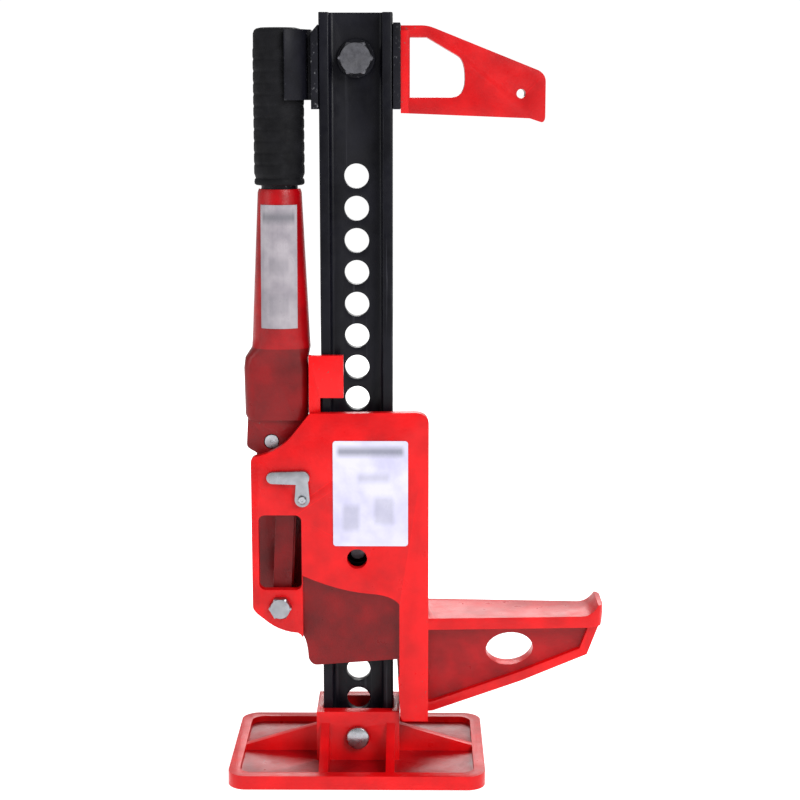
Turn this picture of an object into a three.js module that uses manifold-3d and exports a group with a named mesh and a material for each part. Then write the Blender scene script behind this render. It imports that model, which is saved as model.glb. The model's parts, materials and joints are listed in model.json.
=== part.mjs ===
// Short farm jack: a ratchet jack whose toe climbs a notched steel bar.
// Millimetres. X points the way the toe points, Y runs from the labelled face
// to the pin side, Z is up. The bar's axis stands on the origin.
import * as THREE from 'three';
import { mergeVertices } from 'three/addons/utils/BufferGeometryUtils.js';
import Module from 'manifold-3d';

const wasm = await Module();
wasm.setup();

// ---- Fits ----
const SEAT_GAP = 0.3;
const RUN_GAP = 0.5;

// ---- Bar ----
const BAR_WIDTH = 57.2;
const BAR_DEPTH = 30;
const BAR_HEIGHT = 603;
const BAR_FOOT_Z = 7;
const FLANGE_THICK = 8;
const WEB_THICK = 8;
const HOLE_RADIUS = 9.75;
const PITCH = 25.4;
const HOLE_COUNT = 19;
const FIRST_HOLE_Z = 26.8;
const LOWER_PIN_STEP = 6;
const UPPER_PIN_STEP = 9;

// ---- Base ----
const BASE_LENGTH = 207;
const BASE_WIDTH = 144;
const BASE_CORNER = 15;
const BASE_FLOOR = 6.5;
const BASE_RIM_HEIGHT = 11.5;
const BASE_RIM_WIDTH = 9;
const SOCKET_WALL_X = 5;
const SOCKET_WALL_Y = 9.5;
const SOCKET_HEIGHT = 48;
const BASE_PIN_RADIUS = 6.35;
const COTTER_RADIUS = 1.5;
const BASE_PIN_FLANGE = 3;
const BASE_PIN_HEAD = 5;
const BASE_PIN_TAIL = 9;
const GUSSET_THICK = 7;

// ---- Top clamp ----
const YOKE_HEIGHT = 66;
const YOKE_DROP = 8;
const YOKE_WALL = 5.6;
const CLAMP_BOLT_DROP = 35;
const CLAMP_BOLT_RADIUS = 8;
const HEX_ACROSS_CORNERS = 27.6;
const CLAMP_HEAD_THICK = 10;
const WASHER_RADIUS = 15;
const WASHER_THICK = 3;
const JAW_REACH = 112.6;
const JAW_THICK = 22;
const JAW_HEEL_HEIGHT = 67;
const JAW_TIP_HEIGHT = 33;
const KEEPER_RADIUS = 22.6;
const KEEPER_THICK = 2.4;
const KEEPER_HEIGHT = 54;
const KEEPER_DROP = 5;
const KEEPER_HALF_ANGLE = 1.31;
const KEEPER_TAB_HALF = 8;
const SPACER_WALL = 4;
const BOLT_END = 4;

// ---- Large runner ----
const CASTING_WALL = 8;
const GUIDE_RIB = 6.5;
const RUNNER_HEAD = 43.6;
const RUNNER_SIDE = 28.9;
const EAR_REACH = 55.9;
const COLUMN_WEB = 9;
const COLUMN_FOOT_Z = 42;
const REAR_DROP = 24;
const RECESS_DEPTH = 6.5;
const SKIRT_Z = 90;
const SKIRT_STEP = 3;
const REAR_WALL_DROP = 79;
const LEFT_WALL = 8.5;
const RIB_EDGE = 0.6;
const RIB_WIDTH = 7;
const BOSS_WALL = 6;
const FRONT_BORE_RADIUS = 8.2;
const TOE_REACH = 171.4;
const TOE_TOP_Z = 129;
const TOE_PLATE = 9.5;
const TOE_LIP = 9;
const TOE_ROOT_WIDTH = 56;
const TOE_TIP_WIDTH = 43;
const TOE_WEB = 14;
const TOE_FLANGE_WIDTH = 25;
const TOE_EYE = { reach: 96, drop: 32, halfX: 19.4, halfZ: 13.8, tilt: 0.11 };
const LABEL_WIDTH = 60;
const LABEL_HEIGHT = 86;
const LABEL_THICK = 0.6;

// ---- Small runner, linkage and handle ----
const CRANK_ROOM = 2.44;
const FULCRUM_RISE = 16.6;
const FULCRUM_RADIUS = 6;
const LUG_HALF = 6.2;
const LUG_RADIUS = 12;
const CHEEK_THICK = 5.6;
const CRANK_RADIUS = 5;
const CRANK_HEAD_RADIUS = 8.4;
const PITMAN_THICK = 4.3;
const PITMAN_HALF_WIDTH = 7.5;
const PITMAN_EYE_WALL = 5;
const PITMAN_SLOT_GAP = 0.9;
const PITMAN_FOOT_STEP = 7;
const PITMAN_HEX = 18.5;
const PITMAN_HEAD_THICK = 7;
const PITMAN_NUT_THICK = 8;
const PITMAN_FOOT_RISE = -40;
const PITMAN_BOLT_RADIUS = 6;
const SMALL_WALL = 9;
const TONGUE_HEIGHT = 34;
const TONGUE_RISE = 87.9;
const HANDLE_OFFSET = 32.4;
const TUBE_RADIUS = 14.5;
const TUBE_WALL = 2.6;
const SLEEVE_TOP_RADIUS = 17.5;
const SLEEVE_FOOT_RADIUS = 23;
const SLEEVE_LENGTH = 117;
const BLOCK_HEIGHT = 60;
const BLOCK_HALF_X = 26;
const BLOCK_HALF_Y = 16.6;
const GRIP_RADIUS = 20;
const GRIP_LENGTH = 121.7;
const SOCKET_SCREW_RADIUS = 3;
const SOCKET_SCREW_RISE = 20;
const SOCKET_SCREW_HEAD = 5.2;

// ---- Climbing pins and reversing latch ----
const PIN_RADIUS = 7.5;
const PIN_SHANK = 49;
const PIN_TAIL_RADIUS = 4;
const PIN_LEAD = 5;
const LOWER_PIN_TRAVEL = 14;
const UPPER_PIN_TRAVEL = 12;
const CAGE_HALF = 13.5;
const CAGE_PLATE = 3;
const CAGE_FOOT = 9.5;
const CAGE_SIDE_GAP = 2.5;
const CAGE_SCREW_HEX = 8.4;
const CAGE_SCREW_THICK = 3.4;
const PIN_TAIL_END = 4;
const PIN_NOSE = 2;
const SPRING_PACKED = 9;
const SPRING_WIRE = 0.8;
const SPRING_TURNS = 3.5;
const CROSS_PIN_RADIUS = 2;
const CROSS_PIN_HALF = 11;
const LATCH_SHAFT_RADIUS = 3.2;
const LATCH_DROP = 26.6;
const LATCH_PLATE = 5;
const LATCH_LEVER_LENGTH = 35;
const LATCH_LEVER_HEIGHT = 11;
const LATCH_LEVER_RISE = 18;
const LATCH_OFFSET = 25.5;

// ---- Places worked out from the sizes above ----
const barHalfX = BAR_WIDTH / 2;
const barHalfY = BAR_DEPTH / 2;
const barTop = BAR_FOOT_Z + BAR_HEIGHT;
const socketX = barHalfX + SEAT_GAP + SOCKET_WALL_X;
const socketY = barHalfY + SEAT_GAP + SOCKET_WALL_Y;
const holeZ = (step) => FIRST_HOLE_Z + PITCH * step;
const lowerPinZ = holeZ(LOWER_PIN_STEP);
const upperPinZ = holeZ(UPPER_PIN_STEP);
const plateIn = barHalfY + RUN_GAP + GUIDE_RIB;
const plateOut = plateIn + CASTING_WALL;
const runnerTop = upperPinZ + RUNNER_HEAD;
const runnerRight = barHalfX + RUNNER_SIDE;
const earLeft = -(barHalfX + EAR_REACH);
const guideX = barHalfX + RUN_GAP;
const smallWallX = guideX + SMALL_WALL;
const smallFace = plateIn - RUN_GAP;
const crankSway = PITCH * (Math.SQRT1_2 - 0.5);
const pitmanEye = CRANK_RADIUS + PITMAN_EYE_WALL;
const crankReach = PITCH / 2 + crankSway + RUN_GAP + pitmanEye + CRANK_ROOM;
const fulcrum = { x: -(smallWallX + crankReach), z: upperPinZ + FULCRUM_RISE };
const crank = { x: fulcrum.x + PITCH / 2, z: fulcrum.z - PITCH / 2 };
const pitmanTop = { x: crank.x + crankSway / 2, z: crank.z };
const pitmanFoot = { x: fulcrum.x + PITMAN_FOOT_STEP, z: lowerPinZ + PITMAN_FOOT_RISE };
const cheekIn = LUG_HALF + RUN_GAP;
const cheekOut = cheekIn + CHEEK_THICK;
const pitmanIn = cheekOut + SEAT_GAP;
const pitmanOut = pitmanIn + PITMAN_THICK;
const handleX = -(barHalfX + HANDLE_OFFSET);
const blockFoot = fulcrum.z + LUG_RADIUS + 6;
const sleeveFoot = blockFoot + BLOCK_HEIGHT + 7;
const sleeveTop = sleeveFoot + SLEEVE_LENGTH;
const gripFoot = sleeveTop + 3;
const gripTop = gripFoot + GRIP_LENGTH;
const latchAxis = { x: fulcrum.x + LATCH_OFFSET, z: upperPinZ - LATCH_DROP };
const yokeTop = barTop - YOKE_DROP;
const yokeFoot = yokeTop - YOKE_HEIGHT;
const yokeBackIn = barHalfY + RUN_GAP;
const yokeBackOut = yokeBackIn + YOKE_WALL;
const yokeSide = guideX + YOKE_WALL;
const clampBoltZ = barTop - CLAMP_BOLT_DROP;

// ---- Solid helpers ----
function solid(geometry) {
  let bare = geometry.index ? geometry.toNonIndexed() : geometry;
  bare = bare.clone();
  bare.deleteAttribute('normal');
  bare.deleteAttribute('uv');
  const merged = mergeVertices(bare, 1e-4);
  const mesh = new wasm.Mesh({
    numProp: 3,
    vertProperties: new Float32Array(merged.attributes.position.array),
    triVerts: new Uint32Array(merged.index.array),
  });
  mesh.merge();
  return new wasm.Manifold(mesh);
}

function union(...solids) {
  return solids.reduce((total, next) => total.add(next));
}

function cut(body, ...tools) {
  return tools.reduce((left, tool) => left.subtract(tool), body);
}

function box(x0, x1, y0, y1, z0, z1) {
  const geometry = new THREE.BoxGeometry(x1 - x0, y1 - y0, z1 - z0);
  geometry.translate((x0 + x1) / 2, (y0 + y1) / 2, (z0 + z1) / 2);
  return solid(geometry);
}

function rodY(radius, y0, y1, x, z, sides = 22) {
  const geometry = new THREE.CylinderGeometry(radius, radius, y1 - y0, sides);
  geometry.translate(x, (y0 + y1) / 2, z);
  return solid(geometry);
}

function rodX(radius, x0, x1, y, z, sides = 12) {
  const geometry = new THREE.CylinderGeometry(radius, radius, x1 - x0, sides);
  geometry.rotateZ(Math.PI / 2);
  geometry.translate((x0 + x1) / 2, y, z);
  return solid(geometry);
}

function rodZ(radius, z0, z1, x, y, sides = 26) {
  const geometry = new THREE.CylinderGeometry(radius, radius, z1 - z0, sides);
  geometry.rotateX(Math.PI / 2);
  geometry.translate(x, y, (z0 + z1) / 2);
  return solid(geometry);
}

function hexY(acrossCorners, y0, y1, x, z) {
  return rodY(acrossCorners / 2, y0, y1, x, z, 6);
}

// An outline in X and Z, given depth along Y.
function plateY(shape, y0, y1, curveSegments = 6) {
  const geometry = new THREE.ExtrudeGeometry(shape, { depth: y1 - y0, bevelEnabled: false, curveSegments });
  geometry.rotateX(Math.PI / 2);
  geometry.translate(0, y1, 0);
  return solid(geometry);
}

// An outline in X and Y, given height along Z.
function plateZ(shape, z0, z1, curveSegments = 6) {
  const geometry = new THREE.ExtrudeGeometry(shape, { depth: z1 - z0, bevelEnabled: false, curveSegments });
  geometry.translate(0, 0, z0);
  return solid(geometry);
}

function turnedZ(profile, x, y, segments = 32) {
  const geometry = new THREE.LatheGeometry(profile.map(([r, z]) => new THREE.Vector2(r, z)), segments);
  geometry.rotateX(Math.PI / 2);
  geometry.translate(x, y, 0);
  return solid(geometry);
}

function polygon(points) {
  return new THREE.Shape(points.map(([a, b]) => new THREE.Vector2(a, b)));
}

function roundedRect(x0, x1, y0, y1, radius) {
  const shape = new THREE.Shape();
  shape.absarc(x1 - radius, y0 + radius, radius, -Math.PI / 2, 0);
  shape.absarc(x1 - radius, y1 - radius, radius, 0, Math.PI / 2);
  shape.absarc(x0 + radius, y1 - radius, radius, Math.PI / 2, Math.PI);
  shape.absarc(x0 + radius, y0 + radius, radius, Math.PI, Math.PI * 1.5);
  return shape;
}

// The outline stretched round a set of discs, as a link or a lug has.
function hullOf(discs, steps = 20) {
  const points = [];
  for (const [x, z, r] of discs) {
    for (let i = 0; i < steps; i += 1) {
      const angle = (2 * Math.PI * i) / steps;
      points.push([x + r * Math.cos(angle), z + r * Math.sin(angle)]);
    }
  }
  points.sort((a, b) => a[0] - b[0] || a[1] - b[1]);
  const turn = (o, a, b) => (a[0] - o[0]) * (b[1] - o[1]) - (a[1] - o[1]) * (b[0] - o[0]);
  const half = (ordered) => {
    const chain = [];
    for (const point of ordered) {
      while (chain.length > 1 && turn(chain.at(-2), chain.at(-1), point) <= 1e-9) {
        chain.pop();
      }
      chain.push(point);
    }
    return chain.slice(0, -1);
  };
  return polygon([...half(points), ...half([...points].reverse())]);
}

// A closed skin through stacked superellipse sections: [z, x, halfX, halfY, squareness].
function loft(sections, around = 32) {
  const vertices = [];
  const faces = [];
  for (const [z, x, halfX, halfY, squareness] of sections) {
    for (let i = 0; i < around; i += 1) {
      const angle = (2 * Math.PI * i) / around;
      const c = Math.cos(angle);
      const s = Math.sin(angle);
      const power = 2 / squareness;
      vertices.push(x + halfX * Math.sign(c) * Math.abs(c) ** power);
      vertices.push(halfY * Math.sign(s) * Math.abs(s) ** power, z);
    }
  }
  const rings = sections.length;
  for (let ring = 0; ring < rings - 1; ring += 1) {
    for (let i = 0; i < around; i += 1) {
      const a = ring * around + i;
      const b = ring * around + ((i + 1) % around);
      faces.push(a, b, b + around, a, b + around, a + around);
    }
  }
  for (const [ring, flip] of [[0, true], [rings - 1, false]]) {
    const centre = vertices.length / 3;
    vertices.push(sections[ring][1], 0, sections[ring][0]);
    for (let i = 0; i < around; i += 1) {
      const a = ring * around + i;
      const b = ring * around + ((i + 1) % around);
      faces.push(...(flip ? [centre, b, a] : [centre, a, b]));
    }
  }
  const geometry = new THREE.BufferGeometry();
  geometry.setAttribute('position', new THREE.Float32BufferAttribute(vertices, 3));
  geometry.setIndex(faces);
  return solid(geometry);
}

class CoilAlongY extends THREE.Curve {
  constructor(radius, y0, y1, turns) {
    super();
    Object.assign(this, { radius, y0, y1, turns });
  }

  getPoint(t, target = new THREE.Vector3()) {
    const angle = 2 * Math.PI * this.turns * t;
    const y = this.y0 + (this.y1 - this.y0) * t;
    return target.set(this.radius * Math.cos(angle), y, this.radius * Math.sin(angle));
  }
}

function wireAlong(curve, wireRadius, steps, sides = 6) {
  const section = new THREE.Shape();
  section.absarc(0, 0, wireRadius, 0, 2 * Math.PI);
  return new THREE.ExtrudeGeometry(section, { extrudePath: curve, steps, curveSegments: sides / 2 });
}

// ---- Finishes ----
const finishes = {
  redCast: { color: 0xc4000c, roughness: 0.42, metalness: 0.05 },
  redTube: { color: 0xa8000a, roughness: 0.38, metalness: 0.05 },
  blackPaint: { color: 0x0c0b12, roughness: 0.45, metalness: 0.1 },
  rubber: { color: 0x101012, roughness: 0.85, metalness: 0 },
  zinc: { color: 0xb9bcc2, roughness: 0.32, metalness: 0.9 },
  springSteel: { color: 0x8a8c90, roughness: 0.3, metalness: 1 },
  whiteLabel: { color: 0xf0eef8, roughness: 0.4, metalness: 0 },
  silverLabel: { color: 0xc2c2c8, roughness: 0.35, metalness: 0.5 },
};

const jack = new THREE.Group();
jack.name = 'farm_jack';

function addPiece(name, geometry, finish, parent = jack) {
  const mesh = new THREE.Mesh(geometry, new THREE.MeshStandardMaterial(finishes[finish]));
  mesh.name = name;
  parent.add(mesh);
  return mesh;
}

function addSolid(name, body, finish, parent = jack) {
  const data = body.getMesh();
  const geometry = new THREE.BufferGeometry();
  geometry.setAttribute('position', new THREE.Float32BufferAttribute(data.vertProperties, 3));
  geometry.setIndex(new THREE.Uint32BufferAttribute(data.triVerts, 1));
  geometry.computeVertexNormals();
  return addPiece(name, geometry, finish, parent);
}

// ---- Bar and base ----
function standardBar() {
  const web = WEB_THICK / 2;
  const inner = barHalfX - FLANGE_THICK;
  let bar = box(-barHalfX, barHalfX, -barHalfY, barHalfY, BAR_FOOT_Z, barTop);
  for (const side of [-1, 1]) {
    const near = Math.min(side * web, side * (barHalfY + 1));
    const far = Math.max(side * web, side * (barHalfY + 1));
    const channel = roundedRect(-inner, inner, near, far, 1.5);
    bar = bar.subtract(plateZ(channel, BAR_FOOT_Z - 1, barTop + 1, 2));
  }
  const highestHole = yokeFoot - HOLE_RADIUS;
  for (let step = 0; step < HOLE_COUNT && holeZ(step) < highestHole; step += 1) {
    bar = bar.subtract(rodY(HOLE_RADIUS, -web - 1, web + 1, 0, holeZ(step), 20));
  }
  return bar.subtract(rodY(CLAMP_BOLT_RADIUS + SEAT_GAP, -web - 1, web + 1, 0, clampBoltZ));
}

function basePlate() {
  const halfX = BASE_LENGTH / 2;
  const halfY = BASE_WIDTH / 2;
  const rimX = halfX - BASE_RIM_WIDTH;
  const rimY = halfY - BASE_RIM_WIDTH;
  const outer = plateZ(roundedRect(-halfX, halfX, -halfY, halfY, BASE_CORNER), 0, BASE_RIM_HEIGHT);
  const tray = roundedRect(-rimX, rimX, -rimY, rimY, BASE_CORNER - BASE_RIM_WIDTH / 2);
  let plate = outer.subtract(plateZ(tray, BASE_FLOOR, BASE_RIM_HEIGHT + 1));
  plate = plate.add(box(-socketX, socketX, -socketY, socketY, BASE_FLOOR - 1, SOCKET_HEIGHT));
  const sideGusset = polygon([
    [socketX - 2, BASE_FLOOR - 1],
    [rimX + 2, BASE_FLOOR - 1],
    [rimX + 2, BASE_RIM_HEIGHT - 1],
    [socketX - 2, COLUMN_FOOT_Z - 12],
  ]);
  const rib = plateY(sideGusset, -GUSSET_THICK / 2, GUSSET_THICK / 2);
  for (const turn of [0, 180]) {
    plate = plate.add(rib.rotate([0, 0, turn]));
  }
  const frontGusset = polygon([
    [socketY - 2, BASE_FLOOR - 1],
    [rimY + 2, BASE_FLOOR - 1],
    [rimY + 2, BASE_RIM_HEIGHT - 1],
    [socketY - 2, SOCKET_HEIGHT - 8],
  ]);
  const strut = plateY(frontGusset, -GUSSET_THICK / 2, GUSSET_THICK / 2);
  for (const turn of [90, 270]) {
    for (const side of [-1, 1]) {
      plate = plate.add(strut.rotate([0, 0, turn]).translate([side * (socketX - GUSSET_THICK), 0, 0]));
    }
  }
  const pocketX = barHalfX + SEAT_GAP;
  const pocketY = barHalfY + SEAT_GAP;
  const pocket = box(-pocketX, pocketX, -pocketY, pocketY, BAR_FOOT_Z - SEAT_GAP, SOCKET_HEIGHT + 1);
  const bore = rodY(BASE_PIN_RADIUS + SEAT_GAP, -socketY - 1, socketY + 1, 0, holeZ(0));
  return cut(plate, pocket, bore);
}

function addBase() {
  addSolid('standard_bar', standardBar(), 'blackPaint');
  addSolid('base_plate', basePlate(), 'redCast');

  const z = holeZ(0);
  const tailY = socketY + BASE_PIN_TAIL;
  const cotterY = socketY + BASE_PIN_HEAD;
  const shank = rodY(BASE_PIN_RADIUS, -socketY - 2, tailY, 0, z);
  const headIn = -socketY - SEAT_GAP;
  const head = rodY(BASE_PIN_RADIUS + BASE_PIN_FLANGE, headIn - BASE_PIN_HEAD, headIn, 0, z);
  const cotterHole = rodZ(COTTER_RADIUS + SEAT_GAP, z - 12, z + 12, 0, cotterY, 16);
  addSolid('base_pin', cut(union(shank, head), cotterHole), 'zinc');

  const eye = BASE_PIN_RADIUS + COTTER_RADIUS + 3;
  const leg = rodZ(COTTER_RADIUS, z - BASE_PIN_RADIUS - 5, z + eye, 0, cotterY, 16);
  const ring = new THREE.TorusGeometry(3.5, COTTER_RADIUS, 8, 14);
  ring.rotateX(Math.PI / 2);
  ring.translate(0, cotterY, z + eye + 2.6);
  addSolid('base_pin_cotter', union(leg, solid(ring)), 'zinc');
}

// ---- Top clamp ----
function clampJaw() {
  const heel = yokeSide + SEAT_GAP;
  const tip = heel + JAW_REACH;
  const foot = yokeFoot - 3;
  const top = foot + JAW_HEEL_HEIGHT;
  const outline = new THREE.Shape();
  outline.moveTo(heel, foot);
  outline.lineTo(tip - 12, foot - 4);
  outline.lineTo(tip - 3, foot - 7);
  outline.quadraticCurveTo(tip, foot - 7, tip, foot - 2);
  outline.lineTo(tip, foot + JAW_TIP_HEIGHT - 9);
  outline.quadraticCurveTo(tip, foot + JAW_TIP_HEIGHT - 3, tip - 6, foot + JAW_TIP_HEIGHT);
  outline.lineTo(heel + 26, top - 2);
  outline.quadraticCurveTo(heel + 21, top, heel + 16, top);
  outline.lineTo(heel, top);
  const windowShape = new THREE.Path();
  windowShape.moveTo(heel + 7, foot + 12);
  windowShape.lineTo(heel + 40, foot + 12);
  windowShape.quadraticCurveTo(heel + 50, foot + 13, heel + 50, foot + 26);
  windowShape.quadraticCurveTo(heel + 50, foot + 41, heel + 44, foot + 44);
  windowShape.lineTo(heel + 20, top - 9);
  windowShape.lineTo(heel + 7, top - 9);
  outline.holes.push(windowShape);
  const web = plateY(outline, -JAW_THICK / 2, JAW_THICK / 2);
  const lightHole = rodY(3.6, -JAW_THICK, JAW_THICK, tip - 19, foot + 15, 24);
  const pad = box(heel, heel + 6, -barHalfY, barHalfY, foot, top - 4);
  return cut(union(web, pad), lightHole);
}

function addTopClamp() {
  const front = -barHalfY - 1;
  const wallSection = polygon([
    [-yokeSide, front],
    [-guideX, front],
    [-guideX, yokeBackIn],
    [guideX, yokeBackIn],
    [guideX, front],
    [yokeSide, front],
    [yokeSide, yokeBackOut],
    [-yokeSide, yokeBackOut],
  ]);
  const corner = polygon([
    [-yokeSide - 1, yokeTop - 9],
    [-yokeSide - 1, yokeTop + 1],
    [-guideX + 2, yokeTop + 1],
  ]);
  const boltHole = rodY(CLAMP_BOLT_RADIUS + SEAT_GAP, barHalfY, yokeBackOut + 1, 0, clampBoltZ);
  const yoke = plateZ(wallSection, yokeFoot, yokeTop);
  addSolid('top_clamp_yoke', cut(yoke, plateY(corner, -60, 60), boltHole), 'blackPaint');
  addSolid('top_clamp_jaw', clampJaw(), 'redCast');

  const webFace = WEB_THICK / 2;
  const washerIn = -webFace - SEAT_GAP;
  const headIn = washerIn - WASHER_THICK - SEAT_GAP;
  const nutIn = yokeBackOut + SEAT_GAP;
  const nutOut = nutIn + CLAMP_HEAD_THICK + 2;
  const hole = CLAMP_BOLT_RADIUS + SEAT_GAP;
  const head = hexY(HEX_ACROSS_CORNERS, headIn - CLAMP_HEAD_THICK, headIn, 0, clampBoltZ);
  const shank = rodY(CLAMP_BOLT_RADIUS, headIn - 1, nutOut + BOLT_END, 0, clampBoltZ);
  addSolid('clamp_bolt', union(head, shank), 'zinc');
  const ringAt = (radius, y0, y1) => cut(
    rodY(radius, y0, y1, 0, clampBoltZ),
    rodY(hole, y0 - 1, y1 + 1, 0, clampBoltZ),
  );
  addSolid('clamp_washer', ringAt(WASHER_RADIUS, washerIn - WASHER_THICK, washerIn), 'zinc');
  addSolid('clamp_spacer', ringAt(hole + SPACER_WALL, webFace + SEAT_GAP, yokeBackIn - SEAT_GAP), 'zinc');
  const nut = hexY(HEX_ACROSS_CORNERS, nutIn, nutOut, 0, clampBoltZ);
  addSolid('clamp_nut', cut(nut, rodY(hole, nutIn - 1, nutOut + 1, 0, clampBoltZ)), 'zinc');

  const clip = new THREE.Shape();
  clip.absarc(handleX, 0, KEEPER_RADIUS + KEEPER_THICK, -KEEPER_HALF_ANGLE, KEEPER_HALF_ANGLE);
  clip.absarc(handleX, 0, KEEPER_RADIUS, KEEPER_HALF_ANGLE, -KEEPER_HALF_ANGLE, true);
  const keeperTop = yokeTop - KEEPER_DROP;
  const keeperFoot = keeperTop - KEEPER_HEIGHT;
  const tabIn = handleX + KEEPER_RADIUS + 0.8;
  const tab = box(tabIn, -yokeSide - SEAT_GAP, -KEEPER_TAB_HALF, KEEPER_TAB_HALF, keeperFoot, keeperTop);
  const keeper = plateZ(clip, keeperFoot, keeperTop, 16);
  addSolid('handle_keeper', union(keeper, tab), 'blackPaint');
}

// ---- Large runner ----
function runnerOutline() {
  const earTop = fulcrum.z - 8.5;
  const earFoot = pitmanFoot.z - 4;
  const outline = new THREE.Shape();
  outline.moveTo(-guideX - 8, runnerTop - 1);
  outline.lineTo(-guideX - 20, runnerTop - 16);
  outline.quadraticCurveTo(-guideX - 30, earTop + 5, earLeft + 6, earTop);
  outline.quadraticCurveTo(earLeft, earTop, earLeft, earTop - 5);
  outline.lineTo(earLeft, earFoot + 4);
  outline.quadraticCurveTo(earLeft, earFoot, pitmanFoot.x - 14, earFoot - 6);
  outline.quadraticCurveTo(pitmanFoot.x - 2, earFoot - 17, -guideX - 19, earFoot - 18);
  outline.quadraticCurveTo(-guideX - 12, SKIRT_Z + 24, -guideX - 11, SKIRT_Z + 4);
  outline.quadraticCurveTo(-guideX - 9, SKIRT_Z - 2, -guideX - 4, SKIRT_Z - 2);
  outline.lineTo(guideX + SKIRT_STEP, SKIRT_Z + SKIRT_STEP);
  outline.lineTo(socketX + 1, COLUMN_FOOT_Z + 4);
  outline.lineTo(socketX + 3, COLUMN_FOOT_Z);
  outline.lineTo(runnerRight, COLUMN_FOOT_Z);
  outline.lineTo(runnerRight, runnerTop - 9);
  outline.quadraticCurveTo(runnerRight - 1, runnerTop, runnerRight - 11, runnerTop);
  return outline;
}

function toeSolid() {
  const root = guideX + COLUMN_WEB - 2;
  const tip = barHalfX + TOE_REACH;
  const under = TOE_TOP_Z - TOE_PLATE;
  const kneeX = runnerRight + 4;
  const midX = tip - 66;
  const rimX = tip - 12;
  const lower = [
    [root, COLUMN_FOOT_Z],
    [kneeX, COLUMN_FOOT_Z + 3],
    [midX, COLUMN_FOOT_Z + 29],
    [rimX, TOE_TOP_Z - 35],
    [tip - 2, TOE_TOP_Z - 8],
  ];
  const webShape = polygon([...lower, [tip - 4, TOE_TOP_Z - 2], [root, TOE_TOP_Z - 2]]);
  const web = plateY(webShape, -TOE_WEB / 2, TOE_WEB / 2);
  const raised = lower.map(([x, z], index) => [x - (index > 2 ? 6 : 0), z + (index > 2 ? 5 : 8)]).reverse();
  const flange = plateY(polygon([...lower, ...raised]), -TOE_FLANGE_WIDTH / 2, TOE_FLANGE_WIDTH / 2);
  const side = new THREE.Shape();
  side.moveTo(root, under);
  side.lineTo(rimX, under);
  side.lineTo(tip - 2, TOE_TOP_Z - 8);
  side.quadraticCurveTo(tip, TOE_TOP_Z, tip, TOE_TOP_Z + TOE_LIP);
  side.lineTo(tip - 4, TOE_TOP_Z + TOE_LIP);
  side.quadraticCurveTo(tip - 9, TOE_TOP_Z, tip - 18, TOE_TOP_Z);
  side.lineTo(root, TOE_TOP_Z);
  const plan = new THREE.Shape();
  plan.moveTo(root, -TOE_ROOT_WIDTH / 2);
  plan.lineTo(runnerRight + 6, -TOE_ROOT_WIDTH / 2);
  plan.lineTo(tip - 8, -TOE_TIP_WIDTH / 2);
  plan.quadraticCurveTo(tip, -TOE_TIP_WIDTH / 2 + 1, tip, -TOE_TIP_WIDTH / 2 + 9);
  plan.lineTo(tip, TOE_TIP_WIDTH / 2 - 9);
  plan.quadraticCurveTo(tip, TOE_TIP_WIDTH / 2 - 1, tip - 8, TOE_TIP_WIDTH / 2);
  plan.lineTo(runnerRight + 6, TOE_ROOT_WIDTH / 2);
  plan.lineTo(root, TOE_ROOT_WIDTH / 2);
  const reach = plateY(side, -TOE_ROOT_WIDTH, TOE_ROOT_WIDTH);
  const top = reach.intersect(plateZ(plan, 0, TOE_TOP_Z + TOE_LIP + 1));
  const oval = new THREE.Shape();
  const eyeX = barHalfX + TOE_EYE.reach;
  const eyeZ = TOE_TOP_Z - TOE_EYE.drop;
  oval.absellipse(eyeX, eyeZ, TOE_EYE.halfX, TOE_EYE.halfZ, 0, 2 * Math.PI, false, TOE_EYE.tilt);
  return cut(union(web, flange, top), plateY(oval, -TOE_FLANGE_WIDTH, TOE_FLANGE_WIDTH, 14));
}

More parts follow.
